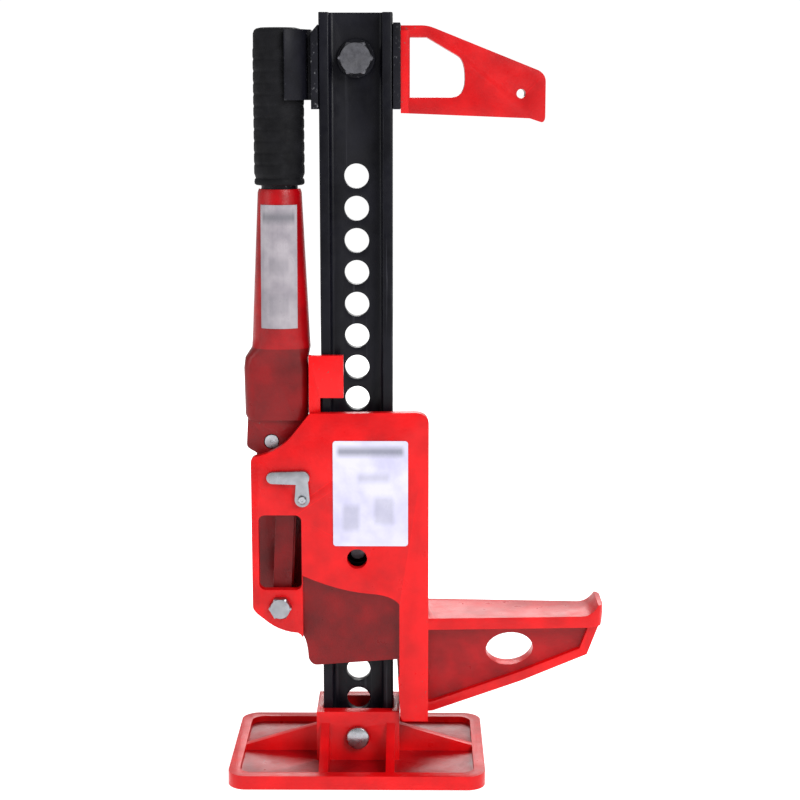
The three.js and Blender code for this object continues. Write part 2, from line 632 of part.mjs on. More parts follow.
function largeRunner() {
  const outline = runnerOutline();
  const full = plateY(outline, -plateOut, plateOut);
  const front = full.intersect(box(-200, 200, -plateOut, -plateIn, 0, 600));
  const rear = full.intersect(box(-200, 200, plateIn, plateOut, 0, 600));
  const wallFoot = lowerPinZ - REAR_WALL_DROP;
  const wallTop = lowerPinZ + CAGE_HALF + CAGE_FOOT + 2.8;
  const rearEar = rear.intersect(box(-200, -guideX, 0, 60, 0, fulcrum.z));
  const rearTop = runnerTop - REAR_DROP;
  const rearSide = rear.intersect(box(CAGE_HALF + CAGE_SIDE_GAP, 200, 0, 60, 0, rearTop));
  const rearBridge = rear.intersect(box(-guideX - 1, CAGE_HALF + 3, 0, 60, wallFoot, wallTop));
  const columnSide = box(guideX, guideX + COLUMN_WEB, -60, 60, COLUMN_FOOT_Z, 600);
  const columnSlope = polygon([
    [-plateIn, runnerTop + 1],
    [plateOut + 1, runnerTop + 1],
    [plateOut + 1, rearTop],
    [plateIn, rearTop],
    [-plateIn, runnerTop - 6],
  ]);
  const slope = plateY(columnSlope, -runnerRight - 1, 1).rotate([0, 0, 90]);
  const column = full.intersect(columnSide).subtract(slope);
  const leftWall = full.intersect(box(-guideX - LEFT_WALL, -guideX, -60, 60, wallFoot, wallTop));
  const boss = rodY(PIN_RADIUS + BOSS_WALL, yokeBackIn, plateIn + 1, 0, lowerPinZ);
  const ribOut = barHalfX - RIB_EDGE;
  const ribIn = ribOut - RIB_WIDTH;
  const ribGap = barHalfY + RUN_GAP;
  const ribs = union(
    box(-ribOut, -ribIn, -plateIn - 1, -ribGap, SKIRT_Z + 2, upperPinZ + 22),
    box(ribIn, ribOut, -plateIn - 1, -ribGap, SKIRT_Z + 6, runnerTop - 2),
    box(ribIn, ribOut, ribGap, plateIn + 1, SOCKET_HEIGHT + 8, rearTop - 2),
    box(-ribOut, -ribIn, ribGap, plateIn + 1, wallFoot, wallTop),
  );
  const body = union(front, rearEar, rearSide, rearBridge, column, leftWall, boss, ribs, toeSolid());

  const recess = new THREE.Shape();
  recess.moveTo(-guideX - 15, SKIRT_Z - 10);
  recess.lineTo(-guideX - 15, lowerPinZ - 14);
  recess.quadraticCurveTo(-15, lowerPinZ - 27, 10, lowerPinZ - 29);
  recess.quadraticCurveTo(28, lowerPinZ - 30, guideX + 5, lowerPinZ - 38);
  recess.lineTo(guideX + 5, SKIRT_Z - 10);
  const windowZ = pitmanFoot.z + 14;
  const pocket = plateY(recess, -plateOut - 1, -plateOut + RECESS_DEPTH);
  const backing = plateY(recess, -plateIn - 2, -plateIn + 3).intersect(full);
  const windowShape = roundedRect(earLeft + 5.5, -guideX - 15.5, windowZ, windowZ + 62, 5);
  const socketRoom = box(-socketX - 1, socketX + 1, -socketY - 2, socketY + 2, 0, SOCKET_HEIGHT + 2);
  return cut(
    body.add(backing),
    pocket,
    socketRoom,
    plateY(windowShape, -plateOut - 1, -plateIn + 1),
    rodY(FRONT_BORE_RADIUS, -plateOut - 1, -plateIn + 1, 0, lowerPinZ),
    rodY(PIN_RADIUS + RUN_GAP, barHalfY, plateOut + 1, 0, lowerPinZ),
    rodY(PITMAN_BOLT_RADIUS + SEAT_GAP, -plateOut - 1, plateOut + 1, pitmanFoot.x, pitmanFoot.z),
    rodY(LATCH_SHAFT_RADIUS + SEAT_GAP, -plateOut - 1, plateOut + 1, latchAxis.x, latchAxis.z, 24),
  );
}

function addLargeRunner() {
  addSolid('large_runner', largeRunner(), 'redCast');
  const labelFoot = lowerPinZ + 11;
  const labelMid = 11;
  const labelEdge = LABEL_WIDTH / 2;
  const labelHead = labelFoot + LABEL_HEIGHT;
  const label = roundedRect(labelMid - labelEdge, labelMid + labelEdge, labelFoot, labelHead, 2.5);
  const labelBack = -plateOut - SEAT_GAP;
  addSolid('runner_label', plateY(label, labelBack - LABEL_THICK, labelBack), 'whiteLabel');
}

// ---- Small runner ----
function smallRunner() {
  const footZ = fulcrum.z - LUG_RADIUS - 9;
  const topZ = upperPinZ + TONGUE_RISE;
  const rearFoot = upperPinZ - CAGE_HALF - CAGE_FOOT;
  const rearTop = upperPinZ + CAGE_HALF + CAGE_FOOT;
  const face = barHalfY + RUN_GAP;
  const nearHole = HOLE_RADIUS + 0.8;
  const slope = polygon([
    [-face, topZ + 1],
    [smallFace + 1, topZ + 1],
    [smallFace + 1, topZ - 22],
    [face, topZ - 22],
    [-face, topZ - 2],
  ]);
  const crown = plateY(slope, -1, smallWallX + 1).rotate([0, 0, 90]);
  const wall = box(-smallWallX, -guideX, -smallFace, smallFace, footZ, topZ).subtract(crown);
  const tongue = box(-guideX - 1, -nearHole, -smallFace, -face, topZ - TONGUE_HEIGHT, topZ);
  const rearTall = box(-guideX - 1, -nearHole, face, smallFace, rearFoot, topZ - 22);
  const rearWide = box(-smallWallX, CAGE_HALF, face, smallFace, rearFoot, rearTop);
  const arm = hullOf([
    [fulcrum.x, fulcrum.z, LUG_RADIUS],
    [-smallWallX, fulcrum.z, LUG_RADIUS],
  ]);
  const keep = box(-200, -guideX - 1, -60, 60, 0, 900);
  const lug = plateY(arm, -LUG_HALF, LUG_HALF).intersect(keep);
  return cut(
    union(wall, tongue, rearTall, rearWide, lug),
    rodY(FULCRUM_RADIUS + SEAT_GAP, -LUG_HALF - 1, LUG_HALF + 1, fulcrum.x, fulcrum.z),
    rodY(PIN_RADIUS + RUN_GAP, barHalfY, smallFace + 1, 0, upperPinZ),
  );
}

// ---- Pitmans ----
function pitman(side) {
  const inner = Math.min(side * pitmanIn, side * pitmanOut);
  const outer = Math.max(side * pitmanIn, side * pitmanOut);
  const halfSlot = crankSway / 2 + RUN_GAP;
  const link = hullOf([
    [pitmanTop.x - 3, pitmanTop.z - 6, PITMAN_HALF_WIDTH],
    [pitmanFoot.x, pitmanFoot.z, PITMAN_HALF_WIDTH],
  ]);
  const topEye = hullOf([
    [pitmanTop.x - halfSlot, pitmanTop.z, pitmanEye],
    [pitmanTop.x + halfSlot, pitmanTop.z, pitmanEye],
  ]);
  const slot = hullOf([
    [pitmanTop.x - halfSlot, pitmanTop.z, CRANK_RADIUS + PITMAN_SLOT_GAP],
    [pitmanTop.x + halfSlot, pitmanTop.z, CRANK_RADIUS + PITMAN_SLOT_GAP],
  ]);
  const padOut = plateIn - SEAT_GAP;
  const padNear = Math.min(side * pitmanIn, side * padOut);
  const padFar = Math.max(side * pitmanIn, side * padOut);
  const pad = rodY(PITMAN_BOLT_RADIUS + 4, padNear, padFar, pitmanFoot.x, pitmanFoot.z);
  return cut(
    union(plateY(link, inner, outer), plateY(topEye, inner, outer), pad),
    plateY(slot, -plateOut, plateOut),
    rodY(PITMAN_BOLT_RADIUS + SEAT_GAP, -plateOut, plateOut, pitmanFoot.x, pitmanFoot.z),
  );
}

function addPitmans() {
  addSolid('pitman_front', pitman(-1), 'redTube');
  addSolid('pitman_rear', pitman(1), 'redTube');
  const { x, z } = pitmanFoot;
  const headIn = -plateOut - SEAT_GAP;
  const nutIn = plateOut + SEAT_GAP;
  const head = hexY(PITMAN_HEX, headIn - PITMAN_HEAD_THICK, headIn, x, z);
  const shank = rodY(PITMAN_BOLT_RADIUS, headIn - 1, nutIn + PITMAN_NUT_THICK + 3, x, z);
  addSolid('pitman_bolt', union(head, shank), 'zinc');
  const nut = hexY(PITMAN_HEX, nutIn, nutIn + PITMAN_NUT_THICK, x, z);
  const nutBore = rodY(PITMAN_BOLT_RADIUS + SEAT_GAP, nutIn - 1, nutIn + PITMAN_NUT_THICK + 1, x, z);
  addSolid('pitman_nut', cut(nut, nutBore), 'zinc');
  const tubeEnd = pitmanIn - SEAT_GAP;
  const spacer = rodY(PITMAN_BOLT_RADIUS + 3, -tubeEnd, tubeEnd, x, z);
  const spacerBore = rodY(PITMAN_BOLT_RADIUS + SEAT_GAP, -tubeEnd - 1, tubeEnd + 1, x, z);
  addSolid('pitman_spacer', cut(spacer, spacerBore), 'zinc');
}

// ---- Handle ----
function handleSocket() {
  const shoulder = blockFoot + BLOCK_HEIGHT - 10;
  const blockX = handleX - (BLOCK_HALF_X - SLEEVE_FOOT_RADIUS) - 0.8;
  const shell = loft([
    [blockFoot, blockX + 0.6, BLOCK_HALF_X - 2.2, BLOCK_HALF_Y, 6],
    [blockFoot + 4, blockX, BLOCK_HALF_X - 0.6, BLOCK_HALF_Y, 5],
    [shoulder - 8, blockX, BLOCK_HALF_X, BLOCK_HALF_Y, 5],
    [shoulder, blockX + 0.4, BLOCK_HALF_X - 0.6, BLOCK_HALF_Y + 0.4, 4],
    [shoulder + 8, handleX, SLEEVE_FOOT_RADIUS + 0.6, BLOCK_HALF_Y + 3.4, 2.6],
    [sleeveFoot, handleX, SLEEVE_FOOT_RADIUS, SLEEVE_FOOT_RADIUS, 2],
    [sleeveTop - 3, handleX, SLEEVE_TOP_RADIUS, SLEEVE_TOP_RADIUS, 2],
    [sleeveTop, handleX, SLEEVE_TOP_RADIUS - 1, SLEEVE_TOP_RADIUS - 1, 2],
  ]);
  const bore = rodZ(TUBE_RADIUS + SEAT_GAP, blockFoot + BLOCK_HEIGHT, sleeveTop + 1, handleX, 0);
  const cavityLeft = blockX - BLOCK_HALF_X + 7;
  const cavityRight = blockX + BLOCK_HALF_X - 7;
  const cavity = box(cavityLeft, cavityRight, -cheekOut, cheekOut, blockFoot - 1, shoulder - 8);
  const cheekShape = hullOf([
    [fulcrum.x, fulcrum.z, LUG_RADIUS + 1],
    [crank.x, crank.z, CRANK_RADIUS + 4.5],
    [blockX - BLOCK_HALF_X + 6.3, fulcrum.z - 2, 4.5],
    [blockX + BLOCK_HALF_X - 8.7, fulcrum.z - 4, 5],
    [cavityLeft + 3, blockFoot + 6, 5],
    [cavityRight - 1, blockFoot + 6, 4],
    [cavityLeft + 3, shoulder - 10, 5],
    [cavityRight - 1, shoulder - 10, 4],
  ]);
  const cheeks = [-1, 1].map((side) => {
    const near = Math.min(side * cheekIn, side * cheekOut);
    const far = Math.max(side * cheekIn, side * cheekOut);
    return plateY(cheekShape, near, far);
  });
  return cut(
    union(cut(shell, bore, cavity), ...cheeks),
    rodY(FULCRUM_RADIUS + SEAT_GAP, -60, 60, fulcrum.x, fulcrum.z),
    rodY(CRANK_RADIUS + SEAT_GAP, -60, 60, crank.x, crank.z),
    rodY(SOCKET_SCREW_RADIUS + SEAT_GAP, 0, 60, handleX, sleeveFoot + SOCKET_SCREW_RISE, 20),
  );
}

function sleeveRadiusAt(z) {
  const share = (sleeveTop - 3 - z) / (sleeveTop - 3 - sleeveFoot);
  return SLEEVE_TOP_RADIUS + share * (SLEEVE_FOOT_RADIUS - SLEEVE_TOP_RADIUS);
}

function addHandle() {
  addSolid('handle_socket', handleSocket(), 'redTube');

  const tubeFoot = blockFoot + BLOCK_HEIGHT + SEAT_GAP;
  const tubeTop = gripTop - 8;
  const tubeIn = TUBE_RADIUS - TUBE_WALL;
  const tube = cut(
    rodZ(TUBE_RADIUS, tubeFoot, tubeTop, handleX, 0),
    rodZ(tubeIn, tubeFoot - 1, tubeTop + 1, handleX, 0),
    rodY(SOCKET_SCREW_RADIUS + SEAT_GAP, 0, 60, handleX, sleeveFoot + SOCKET_SCREW_RISE, 20),
  );
  addSolid('handle_tube', tube, 'blackPaint');

  const gripIn = TUBE_RADIUS + SEAT_GAP;
  const profile = [
    [gripIn, gripFoot],
    [GRIP_RADIUS - 1.6, gripFoot],
    [GRIP_RADIUS - 0.6, gripFoot + 3],
    [GRIP_RADIUS - 0.6, gripFoot + 14],
    [GRIP_RADIUS, gripFoot + 20],
    [GRIP_RADIUS, gripTop - 5],
    [GRIP_RADIUS - 1.5, gripTop - 1.5],
    [GRIP_RADIUS - 5, gripTop],
    [0, gripTop],
    [0, tubeTop + SEAT_GAP],
    [gripIn, tubeTop + SEAT_GAP],
    [gripIn, gripFoot],
  ];
  addSolid('handle_grip', turnedZ(profile, handleX, 0), 'rubber');

  const labelFoot = sleeveFoot + 8;
  const labelTop = sleeveTop - 12;
  const lift = SEAT_GAP;
  const skin = turnedZ([
    [sleeveRadiusAt(labelFoot) + lift, labelFoot],
    [sleeveRadiusAt(labelFoot) + lift + LABEL_THICK, labelFoot],
    [sleeveRadiusAt(labelTop) + lift + LABEL_THICK, labelTop],
    [sleeveRadiusAt(labelTop) + lift, labelTop],
    [sleeveRadiusAt(labelFoot) + lift, labelFoot],
  ], handleX, 0);
  const windowHalf = SLEEVE_TOP_RADIUS * 0.82;
  const shown = box(handleX - windowHalf, handleX + windowHalf, -60, 0, labelFoot - 1, labelTop + 1);
  const patch = skin.intersect(shown);
  addSolid('handle_label', patch, 'silverLabel');

  const screwZ = sleeveFoot + SOCKET_SCREW_RISE;
  const screwFace = sleeveRadiusAt(screwZ) + SEAT_GAP;
  const screw = union(
    rodY(SOCKET_SCREW_RADIUS, TUBE_RADIUS - 1, screwFace + 1, handleX, screwZ, 20),
    rodY(SOCKET_SCREW_HEAD, screwFace + 0.4, screwFace + 3.6, handleX, screwZ, 24),
  );
  addSolid('socket_screw', screw, 'zinc');

  addSolid('fulcrum_pin', rodY(FULCRUM_RADIUS, -cheekOut, cheekOut, fulcrum.x, fulcrum.z), 'zinc');
  for (const [name, side] of [['crank_pin_front', -1], ['crank_pin_rear', 1]]) {
    const span = (a, b) => [Math.min(side * a, side * b), Math.max(side * a, side * b)];
    const [y0, y1] = span(cheekIn + 0.2, pitmanOut + 1);
    const [h0, h1] = span(pitmanOut + SEAT_GAP, plateIn - SEAT_GAP);
    const stud = rodY(CRANK_RADIUS, y0, y1, crank.x, crank.z, 28);
    addSolid(name, union(stud, rodY(CRANK_HEAD_RADIUS, h0, h1, crank.x, crank.z)), 'zinc');
  }
}

// ---- Climbing pins ----
// outward and inward are how far the pin may still slide each way from rest.
function addClimbingPin(name, z, tipY, seatY, outward, inward) {
  const shoulder = tipY + PIN_SHANK;
  const backIn = shoulder + outward + SPRING_PACKED;
  const backOut = backIn + CAGE_PLATE;
  const crossY = backOut + SEAT_GAP + CROSS_PIN_RADIUS + inward;
  const tailEnd = crossY + PIN_TAIL_END;
  const shank = rodY(PIN_RADIUS, tipY + PIN_NOSE, shoulder, 0, z);
  const nose = new THREE.CylinderGeometry(PIN_RADIUS, PIN_RADIUS - PIN_NOSE, PIN_NOSE, 32);
  nose.translate(0, tipY + PIN_NOSE / 2, z);
  const tail = rodY(PIN_TAIL_RADIUS, shoulder - 1, tailEnd, 0, z, 24);
  const crossHole = rodX(CROSS_PIN_RADIUS + 0.15, -20, 20, crossY, z, 16);
  addSolid(`${name}_climbing_pin`, cut(union(shank, solid(nose), tail), crossHole), 'zinc');
  const crossPin = rodX(CROSS_PIN_RADIUS, -CROSS_PIN_HALF, CROSS_PIN_HALF, crossY, z, 16);
  addSolid(`${name}_cross_pin`, crossPin, 'zinc');

  const feetOut = CAGE_HALF + CAGE_FOOT;
  const halfX = PIN_RADIUS + 3.5;
  const footFace = seatY + SEAT_GAP;
  const back = box(-halfX, halfX, backIn, backOut, z - CAGE_HALF, z + CAGE_HALF);
  const cage = [-1, 1].reduce((total, side) => {
    const [l0, l1] = [side * (CAGE_HALF - CAGE_PLATE), side * CAGE_HALF].sort((a, b) => a - b);
    const [f0, f1] = [side * (CAGE_HALF - CAGE_PLATE), side * feetOut].sort((a, b) => a - b);
    const leg = box(-halfX, halfX, footFace, backOut, z + l0, z + l1);
    const foot = box(-halfX, halfX, footFace, footFace + CAGE_PLATE, z + f0, z + f1);
    return total.add(leg).add(foot);
  }, back);
  const tailHole = rodY(PIN_TAIL_RADIUS + RUN_GAP, backIn - 1, backOut + 1, 0, z, 24);
  addSolid(`${name}_pin_cage`, cage.subtract(tailHole), 'zinc');

  const screwFace = footFace + CAGE_PLATE + SEAT_GAP;
  for (const [place, side] of [['low', -1], ['high', 1]]) {
    const screwZ = z + side * (CAGE_HALF + CAGE_FOOT / 2);
    const screw = hexY(CAGE_SCREW_HEX, screwFace, screwFace + CAGE_SCREW_THICK, 0, screwZ);
    addSolid(`${name}_cage_screw_${place}`, screw, 'zinc');
  }

  const start = shoulder + SPRING_WIRE + SEAT_GAP;
  const end = backIn - SPRING_WIRE - SEAT_GAP;
  const coil = new CoilAlongY(PIN_TAIL_RADIUS + SPRING_WIRE + RUN_GAP, start, end, SPRING_TURNS);
  const geometry = wireAlong(coil, SPRING_WIRE, Math.round(SPRING_TURNS * 12));
  const spring = addPiece(`${name}_pin_spring`, geometry, 'springSteel');
  spring.position.z = z;
}

// ---- Reversing latch ----
function addLatch() {
  const { x, z } = latchAxis;
  const front = -plateOut - SEAT_GAP;
  const rear = plateOut + SEAT_GAP;
  const leverZ = z + LATCH_LEVER_RISE;
  const leverRight = x + 6;
  const leverLeft = leverRight - LATCH_LEVER_LENGTH;
  const tip = LATCH_LEVER_HEIGHT / 2;
  const bar = hullOf([
    [leverLeft + tip, leverZ, tip - 0.8],
    [leverRight - tip, leverZ, tip],
  ]);
  const neck = hullOf([
    [x, z, LATCH_SHAFT_RADIUS + 2.8],
    [x, leverZ, 4.5],
  ]);
  const bore = rodY(LATCH_SHAFT_RADIUS + 0.15, -60, 60, x, z, 24);
  const lever = union(
    plateY(bar, front - LATCH_PLATE, front),
    plateY(neck, front - LATCH_PLATE + 1.5, front),
  );
  addSolid('latch_lever', cut(lever, bore), 'zinc');
  const shaft = rodY(LATCH_SHAFT_RADIUS, front - LATCH_PLATE - 0.5, rear + LATCH_PLATE + 0.5, x, z, 24);
  addSolid('latch_shaft', shaft, 'zinc');
  const reach = { x: -PIN_RADIUS - 9.5, z: lowerPinZ + 13 };
  const arm = hullOf([
    [x, z, LATCH_SHAFT_RADIUS + 4],
    [reach.x, reach.z, 4.5],
  ]);
  addSolid('latch_fork', cut(plateY(arm, rear, rear + LATCH_PLATE), bore), 'zinc');
}

addBase();
addTopClamp();
addLargeRunner();
addSolid('small_runner', smallRunner(), 'redCast');
addPitmans();
addHandle();
const pinClear = WEB_THICK / 2 + PIN_LEAD;
addClimbingPin('lower', lowerPinZ, -pinClear, plateOut, LOWER_PIN_TRAVEL, 0);
addClimbingPin('upper', upperPinZ, WEB_THICK / 2 + 1, smallFace, 0, UPPER_PIN_TRAVEL);
addLatch();

export default jack;
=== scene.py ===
import json
import math

import bmesh
import bpy
from mathutils import Matrix, Vector


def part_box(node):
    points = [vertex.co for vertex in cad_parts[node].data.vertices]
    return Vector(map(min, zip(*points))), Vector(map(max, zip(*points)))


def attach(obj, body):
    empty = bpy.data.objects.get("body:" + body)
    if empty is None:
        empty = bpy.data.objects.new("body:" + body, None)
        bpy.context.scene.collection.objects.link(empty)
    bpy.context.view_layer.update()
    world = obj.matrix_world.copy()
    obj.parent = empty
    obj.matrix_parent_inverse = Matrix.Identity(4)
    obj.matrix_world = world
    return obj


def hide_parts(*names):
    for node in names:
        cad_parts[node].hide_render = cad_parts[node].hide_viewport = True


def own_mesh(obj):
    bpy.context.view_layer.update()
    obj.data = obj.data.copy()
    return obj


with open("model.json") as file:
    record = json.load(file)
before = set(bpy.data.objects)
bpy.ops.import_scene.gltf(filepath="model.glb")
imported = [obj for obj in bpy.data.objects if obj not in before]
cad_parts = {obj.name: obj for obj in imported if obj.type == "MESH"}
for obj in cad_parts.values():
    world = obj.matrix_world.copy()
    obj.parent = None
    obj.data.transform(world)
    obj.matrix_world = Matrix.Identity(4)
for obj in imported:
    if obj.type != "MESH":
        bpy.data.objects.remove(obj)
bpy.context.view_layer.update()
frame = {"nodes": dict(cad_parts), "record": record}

MM = 0.001
PITCH = 25.4 * MM
FIRST_HOLE_Z = 26.8 * MM
HOLE_COUNT = 19
HOLE_RADIUS = 9.75 * MM
FLANGE = 8 * MM
WEB = 8 * MM
CLAMP_BOLT_RADIUS = 8 * MM
CLAMP_BORE_RADIUS = 8.3 * MM
PITMAN_BOLT_RADIUS = 6 * MM
PITMAN_BORE_RADIUS = 6.3 * MM
CUTTER_PAST = 1 * MM

# ---------------------------------------------------------------- materials

CHIP_IRON = (0.12, 0.075, 0.065)
# How much lighter the enamel's edges are, and how much of that is laid on: partly rubbed paint, partly a
# painted highlight.
EDGE_LIFT = 1.15
EDGE_SHARE = 0.55
MOTTLE_DEPTH = 0.8
LABEL_BAND = (0.03, 0.97, 0.83, 0.97)
BAND_SHARE = 0.75
PANEL_SHARE = 0.3
# Sockets of a Mix node that is set to colours.
MIX_A = 6
MIX_B = 7
MIX_RESULT = 2


class Finish:
    """One node material, with short helpers for its noise, ramps and bumps."""

    def __init__(self, name, colour, roughness, metallic=0.0,
                 coat=0.0, coat_roughness=0.1, specular=0.5):
        self.material = bpy.data.materials.new(name)
        self.material.use_nodes = True
        self.tree = self.material.node_tree
        self.shader = self.tree.nodes["Principled BSDF"]
        self.shader.inputs["Base Color"].default_value = (*colour, 1)
        self.shader.inputs["Roughness"].default_value = roughness
        self.shader.inputs["Metallic"].default_value = metallic
        self.shader.inputs["Coat Weight"].default_value = coat
        self.shader.inputs["Coat Roughness"].default_value = coat_roughness
        self.shader.inputs["Specular IOR Level"].default_value = specular
        self.place = self.tree.nodes.new("ShaderNodeTexCoord").outputs["Object"]
        self.normal = None

    def node(self, kind, **settings):
        made = self.tree.nodes.new(kind)
        for key, value in settings.items():
            setattr(made, key, value)
        return made

    def link(self, source, target):
        self.tree.links.new(source, target)

    def stretched(self, scale):
        mapping = self.node("ShaderNodeMapping")
        mapping.inputs["Scale"].default_value = scale
        self.link(self.place, mapping.inputs["Vector"])
        return mapping.outputs["Vector"]

    def noise(self, scale, detail=4, roughness=0.55, stretch=(1, 1, 1)):
        texture = self.node("ShaderNodeTexNoise")
        texture.inputs["Scale"].default_value = scale
        texture.inputs["Detail"].default_value = detail
        texture.inputs["Roughness"].default_value = roughness
        self.link(self.stretched(stretch), texture.inputs["Vector"])
        return texture.outputs["Fac"]

    def ramp(self, value, low, high, start=0.0, end=1.0):
        """value between low and high becomes start to end."""
        remap = self.node("ShaderNodeMapRange")
        for name, number in (("From Min", low), ("From Max", high),
                             ("To Min", start), ("To Max", end)):
            remap.inputs[name].default_value = number
        self.link(value, remap.inputs["Value"])
        return remap.outputs["Result"]

    def math(self, operation, a, b):
        made = self.node("ShaderNodeMath", operation=operation)
        for socket, value in zip(made.inputs, (a, b)):
            if isinstance(value, (int, float)):
                socket.default_value = value
            else:
                self.link(value, socket)
        return made.outputs[0]

    def mix(self, factor, a, b):
        """Colours or colour sockets a and b, mixed by factor."""
        made = self.node("ShaderNodeMix", data_type="RGBA")
        self.link(factor, made.inputs["Factor"])
        for socket, value in ((made.inputs[MIX_A], a), (made.inputs[MIX_B], b)):
            if isinstance(value, tuple):
                socket.default_value = (*value, 1)
            else:
                self.link(value, socket)
        return made.outputs[MIX_RESULT]

    def height(self, value, strength, distance):
        """Adds a bump to those already made."""
        bump = self.node("ShaderNodeBump")
        bump.inputs["Strength"].default_value = strength
        bump.inputs["Distance"].default_value = distance
        self.link(value, bump.inputs["Height"])
        if self.normal is not None:
            self.link(self.normal, bump.inputs["Normal"])
        self.normal = bump.outputs["Normal"]
        self.link(self.normal, self.shader.inputs["Normal"])
        self.link(self.normal, self.shader.inputs["Coat Normal"])

    def edges(self, low=0.52, high=0.6):
        """0 on flats and 1 on outer edges."""
        return self.ramp(self.node("ShaderNodeNewGeometry").outputs["Pointiness"], low, high)

    def colour(self, socket):
        self.link(socket, self.shader.inputs["Base Color"])

    def rough(self, socket):
        self.link(socket, self.shader.inputs["Roughness"])


def enamel(name, fresh, deep, grain):
    """Enamel over a casting: cast grain, uneven film, chipped edges, and edges lightened partly as rubbed
    paint and partly as a painted highlight.
    """
    finish = Finish(name, fresh, 0.34, coat=0.10, coat_roughness=0.16, specular=0.22)
    film = finish.ramp(finish.noise(scale=38, detail=5), 0.32, 0.68)
    body = finish.mix(film, deep, fresh)
    edge = finish.edges()
    # Lighter edges: partly thin rubbed paint, partly a painted highlight.
    rubbed_and_highlit = tuple(min(1.0, channel * EDGE_LIFT) for channel in fresh)
    body = finish.mix(finish.math("MULTIPLY", edge, EDGE_SHARE), body, rubbed_and_highlit)
    patches = finish.ramp(finish.noise(scale=420, detail=6, roughness=0.7), 0.62, 0.66)
    worn = finish.math("MULTIPLY", finish.ramp(edge, 0.6, 1.0), patches)
    body = finish.mix(worn, body, CHIP_IRON)
    finish.colour(body)
    finish.rough(finish.ramp(finish.noise(scale=90, detail=4), 0.3, 0.7, 0.27, 0.44))
    finish.height(finish.noise(scale=70, detail=4), strength=0.12, distance=0.0012)
    finish.height(finish.noise(scale=520, detail=5, roughness=0.6), strength=grain, distance=0.0005)
    return finish.material


def bar_paint():
    """Satin black on rolled steel, worn bright in streaks along the flanges."""
    finish = Finish("black_bar_enamel", (0.004, 0.004, 0.007), 0.34, specular=0.16)
    film = finish.ramp(finish.noise(scale=26, detail=4), 0.35, 0.65)
    body = finish.mix(film, (0.002, 0.002, 0.004), (0.006, 0.006, 0.010))
    rolled = finish.noise(scale=240, detail=4, roughness=0.6, stretch=(1, 1, 0.02))
    streak = finish.ramp(rolled, 0.60, 0.70)
    edge = finish.edges(0.51, 0.58)
    worn = finish.math("MULTIPLY", streak, finish.ramp(edge, 0.1, 0.8, 0.06, 0.8))
    body = finish.mix(worn, body, (0.10, 0.10, 0.12))
    finish.colour(body)
    finish.rough(finish.ramp(finish.noise(scale=120, detail=4), 0.3, 0.7, 0.28, 0.46))
    drawn = finish.noise(scale=310, detail=5, roughness=0.6, stretch=(1, 1, 0.25))
    finish.height(drawn, strength=0.16, distance=0.0004)
    return finish.material


def yoke_paint():
    """The same black over bent plate, with a fine grain and chipped edges."""
    finish = Finish("black_clamp_enamel", (0.005, 0.005, 0.008), 0.4, specular=0.14)
    film = finish.ramp(finish.noise(scale=44, detail=4), 0.35, 0.65)
    body = finish.mix(film, (0.003, 0.003, 0.005), (0.007, 0.007, 0.011))
    chips = finish.ramp(finish.noise(scale=360, detail=6, roughness=0.7), 0.60, 0.66)
    worn = finish.math("MULTIPLY", finish.edges(0.53, 0.60), chips)
    body = finish.mix(worn, body, (0.14, 0.14, 0.15))
    finish.colour(body)
    finish.rough(finish.ramp(finish.noise(scale=100, detail=4), 0.3, 0.7, 0.32, 0.52))
    finish.height(finish.noise(scale=420, detail=5, roughness=0.65), strength=0.2, distance=0.0004)
    return finish.material


def grip_rubber():
    """Moulded black rubber with a pebbled skin and faint dust."""
    finish = Finish("black_grip_rubber", (0.004, 0.004, 0.005), 0.62, specular=0.14)
    dust = finish.ramp(finish.noise(scale=55, detail=5, roughness=0.6), 0.45, 0.75)
    finish.colour(finish.mix(dust, (0.003, 0.003, 0.004), (0.008, 0.008, 0.010)))
    finish.rough(finish.ramp(finish.noise(scale=150, detail=4), 0.3, 0.7, 0.56, 0.8))
    pebbles = finish.node("ShaderNodeTexVoronoi", feature="SMOOTH_F1")
    pebbles.inputs["Scale"].default_value = 900
    finish.link(finish.place, pebbles.inputs["Vector"])
    finish.height(pebbles.outputs["Distance"], strength=0.25, distance=0.0003)
    return finish.material


def zinc(name, colour, tint, roughness, brushed=(1, 1, 1)):
    """Zinc plate: crystal mottle, a faint passivation tint and an uneven sheen."""
    finish = Finish(name, colour, roughness, metallic=1.0)
    mottle = finish.ramp(finish.noise(scale=170, detail=4), 0.35, 0.65)
    body = finish.mix(mottle, tuple(channel * MOTTLE_DEPTH for channel in colour), colour)
    hue = finish.ramp(finish.noise(scale=60, detail=3), 0.5, 0.75, 0.0, 0.45)
    finish.colour(finish.mix(hue, body, tint))
    sheen = finish.noise(scale=260, detail=4, stretch=brushed)
    finish.rough(finish.ramp(sheen, 0.3, 0.7, roughness * 0.75, roughness * 1.35))
    finish.height(finish.noise(scale=900, detail=4, stretch=brushed), strength=0.12, distance=0.0002)
    return finish.material


